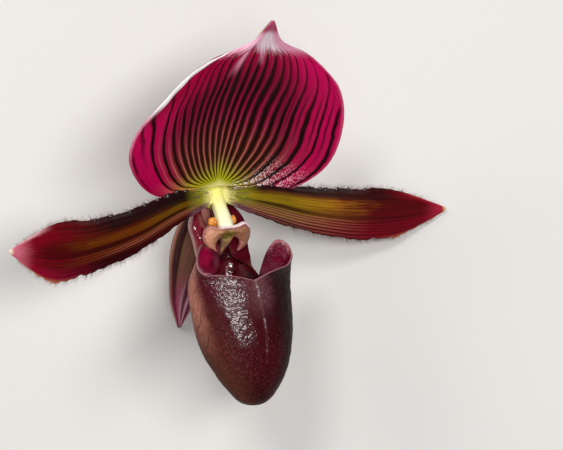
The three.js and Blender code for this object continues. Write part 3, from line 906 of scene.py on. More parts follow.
# %% Build the anthers and the stigma
ANTHERS = [(3, "anther_left", (-3, -6.7, 2.4)), (7, "anther_right", (2.5, -6.8, 1.7))]
pollen = []
for seed, node, place in ANTHERS:
    points, faces = ball((1.05, 1.3, 1.05), lump=0.16, furrow=0.16, seed=seed)
    name = node.replace("anther", "pollen")
    pollen.append(make_piece(name, on_table(points + place), faces, node, "anther", place=points))
points, faces = ball((2.1, 1.6, 0.7), lump=0.2, seed=5.0)
stigma = make_piece("stigma_pad", on_table(points + [0, -10.0, 1.7]), faces, "stigma", "stigma", place=points)
print("built", [piece.name for piece in pollen], "and", stigma.name)

# %% [markdown]
# ## The ovary, the stem and the bract
# Behind the flower a long ribbed ovary bends down to the table, and a short piece of the stem is left, cut
# straight. A bract, a leaf the shape of a boat, clasps the joint. They were drawn as the flower lies, so
# these points are not turned again.

# %% Build the ovary and the stem
OVARY_PATH = [[-1.6, 0.3, -3], [-5, 1.5, -9.5], [-8.2, 2.8, -16], [-10.3, 3.2, -21.8], [-9.4, -0.4, -25.7],
              [-6, -9.5, -26.2], [0, -21, -26.4]]
OVARY_RADII = [1.9, 2.2, 2.3, 2.3, 2.2, 2, 1.8]
STEM_PATH = [[0.2, -21.45, -26.4], [4.2, -33, -26.3], [8, -45, -26.2]]
ovary, ovary_points, ovary_marks = make_bar(
    "ovary_ribs", OVARY_PATH, OVARY_RADII, "ovary", "ovary", is_turned=True,
    sides=72, steps=110, ribs=6, depth=0.055, twist=2.2, dome=0.4)
stem, stem_points, stem_marks = make_bar(
    "cut_stem", STEM_PATH, [1.8, 1.9, 2], "scape", "stem", is_turned=True,
    sides=64, steps=60, ribs=9, depth=0.018, twist=0.6, wobble=0.012, dome=0.05)
print("ovary and stem:", len(ovary.data.polygons), "and", len(stem.data.polygons), "faces")

# %% [markdown]
# The bract is a sheet again, wrapped round the ovary's foot and thickened with the same skin as the petals.

# %% Build the bract
BRACT_FOOT, BRACT_TIP = 0.99, 0.74
BRACT_VEINS, BRACT_OFF = 8, 0.62


def bract_sheet(columns=61, rows=70):
    """A sheet wrapped round the ovary, narrowing from its foot to its tip."""
    share, turn = np.meshgrid(np.linspace(0, 1, rows), np.linspace(-1, 1, columns), indexing="ij")
    t = BRACT_FOOT + (BRACT_TIP - BRACT_FOOT) * share
    forward = unit(through(OVARY_PATH, t + 1e-4) - through(OVARY_PATH, t - 1e-4))
    up = unit(np.array([0, 0, 1.0]) - forward * forward[..., 2:])
    side = np.cross(forward, up)
    angle = (turn * math.radians(100) * (1 - 0.95 * share ** 2))[..., None]
    radius = np.interp(t, np.linspace(0, 1, len(OVARY_RADII)), OVARY_RADII)[..., None] + BRACT_OFF
    radius = radius + 0.35 * (np.abs(turn) ** 4 * ease(share, 0.1, 0.5))[..., None]
    return through(OVARY_PATH, t) + radius * (up * np.cos(angle) + side * np.sin(angle)), turn, share


sheet, turn, share = bract_sheet()
faces, sheet = faces_between(numbered(*turn.shape)), sheet.reshape(-1, 3)
faces = facing(faces, point_normals(sheet, faces)[:, 2].mean())
turn, share = turn.ravel(), share.ravel()
relief = -0.04 * np.cos(2 * np.pi * BRACT_VEINS * turn) * ease(1 - share, 0, 0.3)
points, faces = skin(sheet, faces, blade_half(turn, share, 0.5, 0.3), relief)
bract = make_piece("bract_leaf", on_table(points, is_turned=True), faces, "bract", "bract",
                   place=two_sided(np.column_stack([turn, share])), veins=np.tile(BRACT_VEINS * turn, 2))
print("the bract has", len(faces), "faces")

# %% [markdown]
# ## Hairs
# Fine hairs fringe the petals and the upper sepal and cover the ovary and the stem. Blender's hair curves
# would be quicker to comb, but they are lost when the model leaves Blender. So each hair is a tiny
# three-sided cone that bends, and the hairs of one kind are one mesh. A numbered seed keeps them in the
# same places every time.

# %% A crop of hairs
HAIR_STAGES = (0.0, 0.4, 0.75)
HAIR_WIDTH = 0.035


def hair_faces():
    """The faces of one hair: its foot, two sleeves of three faces, and its point."""
    sleeves = [[s + k, s + (k + 1) % 3, s + 3 + (k + 1) % 3, s + 3 + k] for s in (0, 3) for k in range(3)]
    return np.array([[0, 2, 1, 1]] + sleeves + [[6 + k, 6 + (k + 1) % 3, 9, 9] for k in range(3)])


def grow_hairs(name, crops, slot, width=HAIR_WIDTH, is_turned=False):
    """Bent cones. Each crop gives the hairs' roots, directions and lengths, and how they lean over."""
    roots, along, lengths, bend = (np.concatenate(part) for part in zip(*crops))
    along = unit(along)
    side = unit(np.cross(along, np.where(np.abs(along[:, 2:]) < 0.8, [[0, 0, 1.0]], [[0, 1.0, 0]])))
    other = np.cross(along, side)
    n = len(roots)
    rings, stages = [], []
    for s in HAIR_STAGES:
        centre = roots + (along * s + bend * s * s) * lengths[:, None]
        for k in range(3):
            a = 2 * np.pi * k / 3
            rings.append(centre + width * (1 - 0.75 * s) * (side * math.cos(a) + other * math.sin(a)))
            stages.append(np.full(n, s))
    rings.append(roots + (along + bend) * lengths[:, None])
    stages = np.stack(stages + [np.ones(n)], 1).ravel()
    faces = (hair_faces()[None] + len(rings) * np.arange(n)[:, None, None]).reshape(-1, 4)
    tone = np.repeat(np.random.default_rng(3).random(n), len(rings))
    piece = make_piece(name, on_table(np.stack(rings, 1).reshape(-1, 3), is_turned), faces, None, slot,
                       place=np.column_stack([stages, tone, 0 * stages]))
    print(name, "has", n, "hairs")
    return piece


print("one hair has", len(hair_faces()), "faces")

# %% [markdown]
# A hair has to know which way is out, which way the tip lies and which way the face looks. These directions
# come from more points of the blade, close by.

# %% The directions at a point of a blade
def blade_frame(outline, shape, across, along, step=0.004):
    """Points on a blade with their outward margin direction, their direction to the tip and their normal."""
    def at(across, along):
        return shape(on_blade(outline, across, along), across, along)

    here = at(across, along)
    out = unit(here - at(across * (1 - 0.06), along), 1e-9)
    tipward = unit(at(across, along + step) - at(across, along - step), 1e-9)
    normal = np.cross(out, tipward)
    return here, out, tipward, normal * np.sign(normal[:, 2:] + 1e-9)


_, outwards, _, _ = blade_frame(UPPER_SEPAL, upper_sepal_shape, np.array([1.0]), np.array([0.5]))
print("out of the upper sepal's right margin:", np.round(outwards[0], 2))

# %% [markdown]
# A petal's margin has six to eight hairs to the millimetre, longer on the middle of the petal, and each
# wart has a tuft. The hairs lean outwards and to the tip, with some scatter. More hairs stand on the foot
# of each petal.

# %% Grow the hairs of the petals
def petal_fringe(outline, warts, seed, count=300, tuft_size=5):
    """Hairs along both margins of a petal, and a tuft on each wart."""
    rng = np.random.default_rng(seed)
    upper, lower = rng.uniform(0.16, 0.965, count), rng.uniform(0.30, 0.96, count)
    tuft = np.repeat(np.array(warts), tuft_size, 0)
    tuft_across = np.clip(tuft[:, 1] + rng.normal(0, 0.02, len(tuft)), 0.9, 1)
    across = np.concatenate([np.ones(count), -np.ones(count), tuft_across])
    along = np.concatenate([upper, lower, tuft[:, 0] + rng.normal(0, 0.004, len(tuft))])
    here, out, tipward, normal = blade_frame(outline, petal_shape, across, along)
    m = len(across)
    lean = out + 0.35 * tipward + normal * rng.normal(0.15, 0.3, m)[:, None] + rng.normal(0, 0.22, (m, 3))
    length = rng.uniform(0.7, 2.0, m) * (0.55 + 0.5 * np.sin(np.pi * np.clip(along, 0, 1)))
    return here - out * 0.12, lean, length, 0.35 * tipward + rng.normal(0, 0.12, (m, 3))


def petal_foot(outline, seed, count=170):
    """Hairs on the face of a petal, near the flower's heart."""
    rng = np.random.default_rng(seed)
    across, along = rng.uniform(-0.95, 0.95, count), rng.uniform(0.01, 0.10, count)
    here, _, tipward, normal = blade_frame(outline, petal_shape, across, along)
    lean = 1.2 * tipward + normal * rng.uniform(0.3, 0.8, count)[:, None] + rng.normal(0, 0.2, (count, 3))
    return here + 0.3 * normal, lean, rng.uniform(0.8, 1.8, count), 0.3 * tipward


fringes = [petal_fringe(RIGHT_PETAL, RIGHT_WARTS, 11), petal_fringe(LEFT_PETAL, LEFT_WARTS, 12)]
petal_hairs = grow_hairs("petal_hairs", fringes, "petal", width=0.036)
feet = [petal_foot(RIGHT_PETAL, 13), petal_foot(LEFT_PETAL, 14)]
foot_hairs = grow_hairs("petal_foot_hairs", feet, "petal")

# %% [markdown]
# The upper sepal has a short fringe on both margins, and a fine down on its right lobe near the base, where
# it glistens.

# %% Grow the hairs of the upper sepal
def sepal_fringe(rng, count=420):
    """Short hairs on both margins."""
    across = np.where(rng.random(count) < 0.5, -1.0, 1.0)
    along = rng.uniform(0.08, 0.8, count)
    here, out, tipward, normal = blade_frame(UPPER_SEPAL, upper_sepal_shape, across, along)
    lean = out + 0.3 * tipward + 0.2 * normal + rng.normal(0, 0.25, (count, 3))
    return here - 0.05 * out, lean, rng.uniform(0.25, 0.55, count), rng.normal(0, 0.15, (count, 3))


def sepal_down(rng, count=520):
    """Fine down on the face of the right lobe."""
    across = rng.uniform(0.42, 0.98, count)
    along = 0.06 + 0.17 * rng.beta(1.4, 2.0, count)
    here, _, tipward, normal = blade_frame(UPPER_SEPAL, upper_sepal_shape, across, along)
    lean = normal + 0.5 * tipward + rng.normal(0, 0.3, (count, 3))
    return here + 0.28 * normal, lean, rng.uniform(0.22, 0.5, count), rng.normal(0, 0.2, (count, 3))


rng = np.random.default_rng(21)
sepal_hairs = grow_hairs("sepal_hairs", [sepal_fringe(rng), sepal_down(rng)], "upper_sepal")

# %% [markdown]
# The ovary and the stem are downy all over. Their hairs stand on points of their skins, away from the axis
# of the bar, and none grows where the stalk rests on the table.

# %% Grow the hairs of the ovary and the stem
ABOVE_TABLE = -27.6


def bar_crop(points, marks, count, seed, low, high):
    """Hairs on a bar's skin, between two shares of its length."""
    rng = np.random.default_rng(seed)
    on_side = marks[:, 2] == 1
    fit = np.flatnonzero(on_side & (marks[:, 1] > low) & (marks[:, 1] < high))
    pick = rng.choice(fit, count, replace=False)
    rings = {round(a, 6): points[on_side & (np.abs(marks[:, 1] - a) < 1e-6)].mean(0)
             for a in np.unique(marks[pick, 1])}
    out = unit(points[pick] - np.array([rings[round(a, 6)] for a in marks[pick, 1]]))
    clear = (points[pick] + out)[:, 2] > ABOVE_TABLE
    pick, out, n = pick[clear], out[clear], int(clear.sum())
    lean = out + rng.normal(0, 0.25, (n, 3))
    return points[pick] - 0.05 * out, lean, rng.uniform(0.35, 0.75, n), rng.normal(0, 0.15, (n, 3))


crops = [bar_crop(ovary_points, ovary_marks, 700, 31, 0.04, 0.97),
         bar_crop(stem_points, stem_marks, 260, 32, 0.03, 0.97)]
stalk_hairs = grow_hairs("stalk_hairs", crops, "ovary", is_turned=True)

# %% [markdown]
# ## Finishes from nodes
# The colours of a petal change across it, along it and from vein to vein. An image would fix them at one
# size, so they are worked out by shader nodes from the marks on the points. Wiring dozens of Math nodes by
# hand is slow and hard to read. Here a small class stands for one wire, and writing `a * b + c` adds the
# nodes and the links. A number that is the same everywhere is set on the shader itself.

# %% A wire that can be reckoned with
class Wire:
    """An output socket that adds, multiplies and compares, as a number does."""

    def __init__(self, paint, socket):
        self.paint, self.socket = paint, socket

    def __add__(self, other):
        return self.paint.math("ADD", self, other)

    def __sub__(self, other):
        return self.paint.math("SUBTRACT", self, other)

    def __rsub__(self, other):
        return self.paint.math("SUBTRACT", other, self)

    def __mul__(self, other):
        return self.paint.math("MULTIPLY", self, other)

    def __abs__(self):
        return self.paint.math("ABSOLUTE", self)

    __radd__, __rmul__ = __add__, __mul__

    def rises(self, low, high, first=0.0, last=1.0):
        """first below low, last above high, and a soft step between them."""
        step = self.paint.node("ShaderNodeMapRange", interpolation_type="SMOOTHSTEP")
        for slot, value in zip(step.inputs, (self, low, high, first, last)):
            self.paint.plug(slot, value)
        return Wire(self.paint, step.outputs[0])

    def falls(self, low, high):
        """1 below low and 0 above high."""
        return self.rises(low, high, 1.0, 0.0)

    def near(self, middle, width):
        """1 at the middle, falling softly to 0 at a width from it."""
        return abs(self - middle).falls(0.0, width)

    def to_vein(self):
        """0 on a whole number and 1 half way between two of them."""
        return self.paint.math("PINGPONG", self, 0.5) * 2.0


def tint(red, green, blue):
    """A colour as a screen shows it (0 to 255), as the light amounts that the shader needs."""
    share = [c / 255 for c in (red, green, blue)]
    return tuple(c / 12.92 if c < 0.04045 else ((c + 0.055) / 1.055) ** 2.4 for c in share) + (1.0,)


print("middle grey, as the shader takes it:", np.round(tint(128, 128, 128), 3))

# %% [markdown]
# A material holds the wires of one finish. Its marks tell where a point sits, its textures give grain,
# cells and fibres, and its blends lay one colour over another. At the end it covers a piece with them.

# %% A paint made of nodes
class Paint:
    """A material that is being made."""

    def __init__(self, name, **shader):
        self.material = bpy.data.materials.new(name)
        self.material.use_nodes = True
        self.tree = self.material.node_tree
        self.shader = self.tree.nodes["Principled BSDF"]
        for socket, value in shader.items():
            title = socket.replace("_", " ").title().replace("Ior", "IOR")
            self.shader.inputs[title].default_value = value

    def node(self, kind, **settings):
        """A new node of the material."""
        made = self.tree.nodes.new(kind)
        for key, value in settings.items():
            setattr(made, key, value)
        return made

    def plug(self, slot, value):
        """Feeds a socket with a wire, or with a plain number or colour."""
        if isinstance(value, Wire):
            self.tree.links.new(value.socket, slot)
        else:
            slot.default_value = value

    def math(self, operation, *values):
        """The result of a Math node."""
        made = self.node("ShaderNodeMath", operation=operation)
        for slot, value in zip(made.inputs, values):
            self.plug(slot, value)
        return Wire(self, made.outputs[0])

    def mark(self, name):
        """A number that the mesh keeps on each of its points."""
        return Wire(self, self.node("ShaderNodeAttribute", attribute_name=name).outputs["Fac"])

    def place(self):
        """The three numbers of the mark called place."""
        source = self.node("ShaderNodeAttribute", attribute_name="place")
        parts = self.node("ShaderNodeSeparateXYZ")
        self.tree.links.new(source.outputs["Vector"], parts.inputs[0])
        return [Wire(self, s) for s in parts.outputs]

    def spread(self, x, y, z=0.0):
        """A place of three numbers, for a texture."""
        made = self.node("ShaderNodeCombineXYZ")
        for slot, value in zip(made.inputs, (x, y, z)):
            self.plug(slot, value)
        return Wire(self, made.outputs[0])

    def grain(self, size, vector=None, detail=2.0):
        """Cloudy noise around 0.5. size is a cloud in millimetres, or in the vector's own units."""
        made = self.node("ShaderNodeTexNoise")
        made.inputs["Detail"].default_value = detail
        return self.textured(made, size, vector)

    def cloud(self, size):
        """Cloudy noise around 0."""
        return self.grain(size) - 0.5

    def fibres(self, x, y):
        """Noise around 0, drawn out into fibres: x counts their widths and y their lengths."""
        return self.grain(1.0, self.spread(x, y)) - 0.5

    def cells(self, size, feature="F1", vector=None):
        """The distance to scattered points, or to the edge between their cells."""
        return self.textured(self.node("ShaderNodeTexVoronoi", feature=feature), size, vector)

    def textured(self, made, size, vector):
        """Sets the size of a texture node. Without a vector it follows the mesh, in millimetres."""
        if vector is None:
            vector = Wire(self, self.node("ShaderNodeTexCoord").outputs["Object"])
            size = size * MM
        made.inputs["Scale"].default_value = 1 / size
        self.plug(made.inputs["Vector"], vector)
        return Wire(self, made.outputs[0])

    def blend(self, share, first, second):
        """The first colour where share is 0, and the second where it is 1."""
        made = self.node("ShaderNodeMix", data_type="RGBA")
        for slot, value in zip((made.inputs[0], made.inputs[6], made.inputs[7]), (share, first, second)):
            self.plug(slot, value)
        return Wire(self, made.outputs[2])

    def two_faced(self, face, back, front):
        """One colour on the face of a sheet and another on its back."""
        return self.blend(face.rises(0.35, 0.65), back, front)

    def layers(self, ground, *coats):
        """Colours laid over each other. Each coat is (where, colour)."""
        for where, colour in coats:
            ground = self.blend(where, ground, colour)
        return ground

    def cover(self, pieces, colour, roughness=None, height=None, depth=0.03):
        """Connects the colour, the roughness and a relief of some depth in mm, and covers pieces."""
        self.plug(self.shader.inputs["Base Color"], colour)
        if roughness is not None:
            self.plug(self.shader.inputs["Roughness"], roughness)
        if height is not None:
            bump = self.node("ShaderNodeBump")
            bump.inputs["Distance"].default_value = depth * MM
            self.plug(bump.inputs["Height"], height)
            for slot in ("Normal", "Coat Normal"):
                self.tree.links.new(bump.outputs[0], self.shader.inputs[slot])
        for piece in pieces if isinstance(pieces, list) else [pieces]:
            piece.data.materials.append(self.material)
        print(self.material.name, "uses", len(self.tree.nodes), "nodes")


print("a paint can use", ", ".join(k for k in vars(Paint) if not k.startswith("_")))

# %% [markdown]
# ## The finish of the upper sepal
# The ground is magenta on the lobes, crimson in the middle and olive at the base. The hollow middle is
# darkened further with painted shade, and the upper right lobe is brightened with painted light. Fibres run
# along the sepal, some darker and some brighter than the ground.

# %% The ground of the upper sepal
p = Paint("upper_sepal_tissue", specular_ior_level=0.06)
across, along, face = p.place()
out = abs(across)
fine, cloud = p.cloud(0.5), p.cloud(5.0)
fibre = p.fibres(across * 60.0, along * 7.0)
# Painted shade darkens the hollow middle of the hood, and painted light brightens the upper right lobe.
shaded_heart = along.rises(0.30, 0.5) * out.falls(0.15, 0.7) * 0.6
bright_top = along.rises(0.52, 0.75) * out.falls(0.3, 0.8) * 0.85
lit_right_lobe = along.rises(0.5, 0.75) * across.rises(0.3, 0.8) * 0.4
dark_left = along.rises(0.42, 0.56) * along.falls(0.78, 0.9) * across.falls(-0.85, -0.35) * 0.75
olive_foot = along.falls(0.16, 0.46) * out.falls(0.4, 0.85) * 0.92
ground = p.layers(
    p.blend(out.rises(0.25, 0.85) + cloud * 0.3, tint(120, 1, 38), tint(194, 2, 80)),
    (shaded_heart, tint(84, 2, 14)), (bright_top, tint(180, 2, 64)), (lit_right_lobe, tint(214, 10, 100)),
    (dark_left, tint(126, 1, 34)), (olive_foot, tint(78, 46, 5)),
    (fibre.rises(0.0, 0.35) * 0.35, tint(92, 2, 26)),
    (fibre.falls(-0.30, -0.04) * out.rises(0.4, 0.8) * 0.5, tint(226, 4, 104)))
print("the ground takes", len(p.tree.nodes), "nodes")

# %% [markdown]
# Dark veins lie in the grooves, wide at the base and thin on the lobes, and here and there a short one runs
# between two others. Low down, each pleat has a painted highlight along one side, a pale pink line on olive.
# A vein's number, rounded down, picks the same chance for all of a vein, so that a short vein is whole.

# %% The veins of the upper sepal
veins = p.mark("veins") + p.grain(3.4) * 0.20 - 0.10
pleat = veins.to_vein()
upper_lobe = along.rises(0.40, 0.62) * out.rises(0.2, 0.5)
width = (out.rises(0.3, 0.9, 0.52, 0.27) - along.falls(0.02, 0.2) * 0.16 + fine * 0.08 - upper_lobe * 0.08
         - along.rises(0.5, 0.72) * out.falls(0.2, 0.5) * 0.16)
vein = (pleat.falls(width - 0.2, width + 0.1) * along.rises(0.02, 0.09)
        * (along + across * 0.04 + fine * 0.05).falls(0.70, 0.84) * (1.0 - upper_lobe * 0.25)
        * out.falls(0.955, 0.985))
chance = p.node("ShaderNodeTexWhiteNoise", noise_dimensions="1D")
p.plug(chance.inputs["W"], p.math("FLOOR", veins))
between = ((veins + 0.5).to_vein().falls(0.1, 0.24) * Wire(p, chance.outputs[0]).rises(0.45, 0.5)
           * along.rises(0.2, 0.4) * along.falls(0.44, 0.58) * out.rises(0.25, 0.5) * 0.75)
vein_colour = p.blend(along.falls(0.1, 0.4) * out.falls(0.4, 0.9), tint(26, 1, 6), tint(44, 18, 4))
# Painted highlight: a pale line along one side of each pleat, low on the sepal.
rib_highlight = (pleat.rises(0.72, 0.96) * (along + fine * 0.1).falls(0.40, 0.74) * along.rises(0.03, 0.12)
             * out.falls(0.45, 0.9) * 0.8)
rib_highlight_colour = p.blend(along.rises(0.08, 0.42), tint(214, 132, 118), tint(176, 20, 84))
print("with its veins it takes", len(p.tree.nodes), "nodes")

# %% [markdown]
# The tip is almost white and runs out in fibres, with two pale streaks below it. A white painted highlight
# follows the rolled left margin, and a pale painted highlight lines the margins, strongest on the left. The
# base glows yellow-green. White flecks are painted glints of the glistening down of the right lobe.

# %% The tip, the rolled margin and the glistening down
tip = (along + out * 0.02 + fine * 0.05 + fibre * 0.16).rises(0.725, 0.82) * 0.96
tip_colour = p.layers(
    tint(255, 230, 242),
    (across.falls(-0.05, 0.1) * 0.6, tint(244, 160, 194)),
    (across.rises(0.35, 0.7) * 0.6, tint(232, 104, 160)),
    (across.near(-0.16, 0.18) * along.falls(0.84, 0.93), tint(130, 24, 62)),
    (along.rises(0.9, 0.95) * 0.9, tint(176, 34, 92)))
streak = (across.near(-0.22, 0.1) * along.rises(0.58, 0.72) * 0.85
          + across.near(0.12, 0.06) * along.rises(0.64, 0.74) * 0.7)
# Painted highlights: a pale line along both margins, strongest on the left, and a white line on the rolled
# left margin.
rim = ((out + fine * 0.02).rises(0.965, 0.99) * along.rises(0.18, 0.45)
       * across.falls(-0.2, 0.2).rises(0.0, 1.0, 0.3, 1.0))
rolled = (across - along * 0.14).falls(-1.03, -0.98) * along.rises(0.44, 0.54) * along.falls(0.86, 0.93)
# Painted glints: white flecks for the glistening down of the right lobe.
glint_flecks = p.cells(0.48).falls(0.34, 0.48) * pleat.rises(0.1, 0.4)
down = (glint_flecks * (across + cloud * 0.3).rises(0.38, 0.62) * (along + cloud * 0.1).rises(0.03, 0.07)
        * along.falls(0.15, 0.28))
green = along.falls(0.04, 0.2) * out.falls(0.55, 1.05)
glow = along.falls(0.0, 0.06)
front = p.layers(
    ground, (rib_highlight, rib_highlight_colour), (green * 0.9, tint(182, 182, 14)), (vein, vein_colour),
    (between, vein_colour), (streak, tint(250, 160, 196)), (glow, tint(236, 226, 150)), (tip, tip_colour),
    (rim * 0.75, tint(232, 150, 182)), (rolled, tint(255, 248, 250)), (down, tint(255, 232, 240)))
print("the face of the sepal is ready")

# %% [markdown]
# The back is duller, because the colour sits in the face, and its veins are thinner. The gloss is low all
# over, and a fine relief of fibres and cells keeps the highlight soft, as on velvet.

# %% The back and the relief of the upper sepal
back = p.layers(
    p.blend(out.rises(0.1, 0.9) + cloud * 0.4, tint(150, 92, 88), tint(176, 74, 112)),
    (along.falls(0.1, 0.5) * out.falls(0.3, 0.8), tint(138, 140, 74)),
    (pleat.falls(0.15, 0.5) * along.falls(0.75, 0.95) * 0.8, tint(92, 18, 42)),
    (along.rises(0.8, 0.9), tint(214, 178, 150)))
roughness = 0.44 + fibre * 0.12 - tip * 0.06 - down * 0.18
relief = fibre * 0.8 + p.grain(0.22) * 0.7 + p.cells(0.35) * 0.5
p.cover(upper_sepal, p.two_faced(face, back, front), roughness, relief, 0.05)

# %% [markdown]
# ## The finish of the petals
# Each petal is olive and gold near the flower and crimson at its end, with thin lines along it and a black
# upper edge, where the dark rolled-back margin is painted darker as shade. The colours lie across the petal
# in bands, and the bands change from zone to zone along it.
# The two differ: the right one is striped with mauve below, and the left one has two golden bands and a
# dark red lower edge. One function paints both, with the bands and the places where they change given for
# each.

# %% The bands of a petal
# The black upper edge of a petal: the dark rolled-back margin, painted darker as shade.
SHADED_BLACK_EDGE = tint(20, 8, 9)


def petal_ground(p, u, v, bands, turns):
    """The bands across a petal, each zone laid over the one before it, from a turn along the petal on."""
    zones = [p.layers(ground, *[(u.rises(low, high), colour) for low, high, colour in steps])
             for ground, *steps in bands]
    return p.layers(zones[0], *[(v.rises(*turn), zone) for turn, zone in zip(turns, zones[1:])])


RIGHT_BANDS = [
    [tint(78, 40, 34), (-0.75, -0.6, tint(124, 92, 38)), (-0.35, -0.2, tint(106, 88, 12)),
     (-0.12, -0.04, tint(62, 46, 6)), (0.0, 0.14, tint(142, 116, 16)), (0.5, 0.72, tint(100, 66, 18)),
     (0.72, 0.84, tint(42, 16, 16))],
    [tint(98, 26, 24), (-0.7, -0.5, tint(124, 54, 34)), (-0.3, -0.15, tint(130, 80, 20)),
     (0.1, 0.35, tint(168, 108, 26)), (0.55, 0.78, tint(110, 46, 18)), (0.84, 0.94, SHADED_BLACK_EDGE)],
    [tint(116, 4, 26), (-0.4, -0.15, tint(92, 5, 18)), (0.0, 0.3, tint(80, 4, 10)),
     (0.55, 0.85, tint(112, 6, 22))]]
LEFT_BANDS = [
    [tint(52, 5, 6), (-0.75, -0.6, tint(108, 48, 22)), (-0.52, -0.40, tint(98, 56, 8)),
     (-0.22, -0.14, tint(36, 12, 2)), (-0.08, 0.06, tint(104, 70, 3)), (0.30, 0.50, tint(36, 22, 2)),
     (0.62, 0.76, SHADED_BLACK_EDGE)],
    [tint(48, 1, 5), (-0.62, -0.46, tint(100, 40, 10)), (-0.24, -0.16, tint(62, 12, 3)),
     (-0.02, 0.14, tint(102, 48, 4)), (0.30, 0.48, tint(76, 22, 3)), (0.60, 0.74, tint(52, 4, 4))],
    [tint(142, 4, 42), (-0.7, -0.4, tint(104, 2, 16)), (-0.15, 0.05, tint(76, 1, 8)),
     (0.25, 0.6, tint(116, 2, 20))],
    [tint(150, 8, 44), (-0.2, 0.1, tint(134, 6, 36))]]
print("zones along the right and the left petal:", len(RIGHT_BANDS), "and", len(LEFT_BANDS))

# %% [markdown]
# Over the bands lie the black edge, which is painted shade over the dark rolled-back margin, fibres, pink
# lines between the veins, the dark veins, the glow at the foot, pale rims near the end and the coloured tip;
# the left petal's pale upper rim is a painted highlight. The warts are almost black and glossy.

# %% Paint the petals
def paint_petal(name, piece, bands, turns, dark_edge, pink_lines, tip_colour, point_colour, rims):
    """dark_edge: where the black edge, painted shade on the rolled-back margin, starts across and ends along.
    pink_lines: from and to across, and the end along.
    """
    p = Paint(name, specular_ior_level=0.06, coat_roughness=0.12)
    across, along, face = p.place()
    fine, cloud = p.cloud(0.45), p.cloud(4.0)
    fibre = p.fibres(across * 26.0, along * 6.0)
    hairline = p.fibres(across * 70.0, along * 14.0)
    pleat = (p.mark("veins") + fine * 0.12).to_vein()
    u = across + cloud * 0.06 + hairline * 0.10
    v = along + cloud * 0.12 + fibre * 0.30 + hairline * 0.30

    from_where, until = dark_edge
    # Painted shade: the rolled-back upper margin is painted black.
    shade = ((u + along * 0.4).rises(from_where, from_where + 0.2) * along.rises(0.15, 0.3)
             * (along + fine * 0.08).falls(until - 0.08, until + 0.06))
    low, high, last = pink_lines
    pink = (pleat.rises(0.45, 0.9) * u.rises(low, low + 0.12) * u.falls(high - 0.12, high)
            * along.rises(0.03, 0.12) * v.falls(last - 0.25, last))
    dark_line = (pleat.falls(0.08, 0.40) * along.rises(0.04, 0.14) * along.falls(0.72, 0.95)
                 * (u.falls(-0.3, 0.1) * 0.4 + 0.3))
    glow = along.falls(0.02, 0.165) * across.rises(-0.75, -0.2)
    mauve_foot = across.falls(-0.9, -0.4) * along.rises(0.02, 0.05) * along.falls(0.08, 0.16)
    median = abs(across + 0.08).falls(0.02, 0.07) * along.rises(0.12, 0.25) * along.falls(0.85, 0.95)
    upper_rim = (across + fine * 0.1).rises(0.80, 1.0) * along.rises(0.78, 0.88)
    lower_rim = (across + fine * 0.1).falls(-0.98, -0.84) * along.rises(0.66, 0.82)
    tip = (along + fine * 0.03 + fibre * 0.04).rises(0.88, 0.99)
    edge = across.rises(0.955, 0.985) * along.rises(0.12, 0.3) * along.falls(0.6, 0.75)
    wart = p.mark("wart").rises(0.0, 0.35)
    front = p.layers(
        petal_ground(p, u, v, bands, turns),
        (shade * 0.82, SHADED_BLACK_EDGE), (fibre.rises(0.0, 0.22) * 0.45, tint(52, 14, 6)),
        (hairline.rises(0.0, 0.25) * 0.30, tint(40, 10, 6)), (pink * 0.6, tint(176, 102, 92)),
        (dark_line, tint(46, 8, 8)), (glow * 0.9, tint(168, 168, 28)),
        (along.falls(0.0, 0.07), tint(246, 236, 150)), (mauve_foot * 0.6, tint(138, 88, 104)),
        (median * 0.6, tint(48, 4, 8)), (upper_rim * 0.9, rims[0]), (lower_rim * 0.75, rims[1]),
        (tip * 0.85, tip_colour), ((along + fine * 0.01).rises(0.978, 0.998), point_colour),
        (edge * 0.5, tint(150, 112, 100)), (wart * 0.95, tint(24, 6, 12)))
    back = p.layers(
        p.blend(along.rises(0.2, 0.7) + cloud * 0.3, tint(116, 102, 46), tint(140, 62, 60)),
        (pleat.falls(0.15, 0.5) * 0.6, tint(84, 26, 32)), (fibre.rises(0.0, 0.3) * 0.3, tint(102, 62, 40)),
        (along.rises(0.85, 0.97) * 0.7, tint(206, 128, 120)))
    roughness = 0.44 + fibre * 0.14 - wart * 0.2
    relief = fibre * 0.8 + hairline * 0.5 + p.grain(0.2) * 0.6
    coat = across.rises(0.72, 0.95) * along.falls(0.5, 0.75) * 0.35 + wart * 0.6
    p.plug(p.shader.inputs["Coat Weight"], coat)
    p.cover(piece, p.two_faced(face, back, front), roughness, relief, 0.05)


paint_petal(
    "right_petal_tissue", petal_right, RIGHT_BANDS, turns=((0.24, 0.52), (0.40, 0.70)),
    dark_edge=(0.80, 0.78), pink_lines=(-0.95, -0.12, 0.66), tip_colour=tint(176, 34, 60),
    point_colour=tint(238, 206, 130), rims=(tint(176, 60, 60), tint(190, 100, 76)))
# The left petal's pale upper rim near its end is a painted highlight.
paint_petal(
    "left_petal_tissue", petal_left, LEFT_BANDS, turns=((0.20, 0.46), (0.56, 0.82), (0.82, 0.94)),
    dark_edge=(0.62, 0.56), pink_lines=(-0.60, -0.20, 0.62), tip_colour=tint(226, 120, 142),
    point_colour=tint(240, 226, 196), rims=(tint(238, 180, 186), tint(206, 120, 92)))

# %% [markdown]
# ## The finish of the lower sepal
# Only a part of it shows beside the pouch: broad beige ribs, dark maroon bands between them and a pink end.

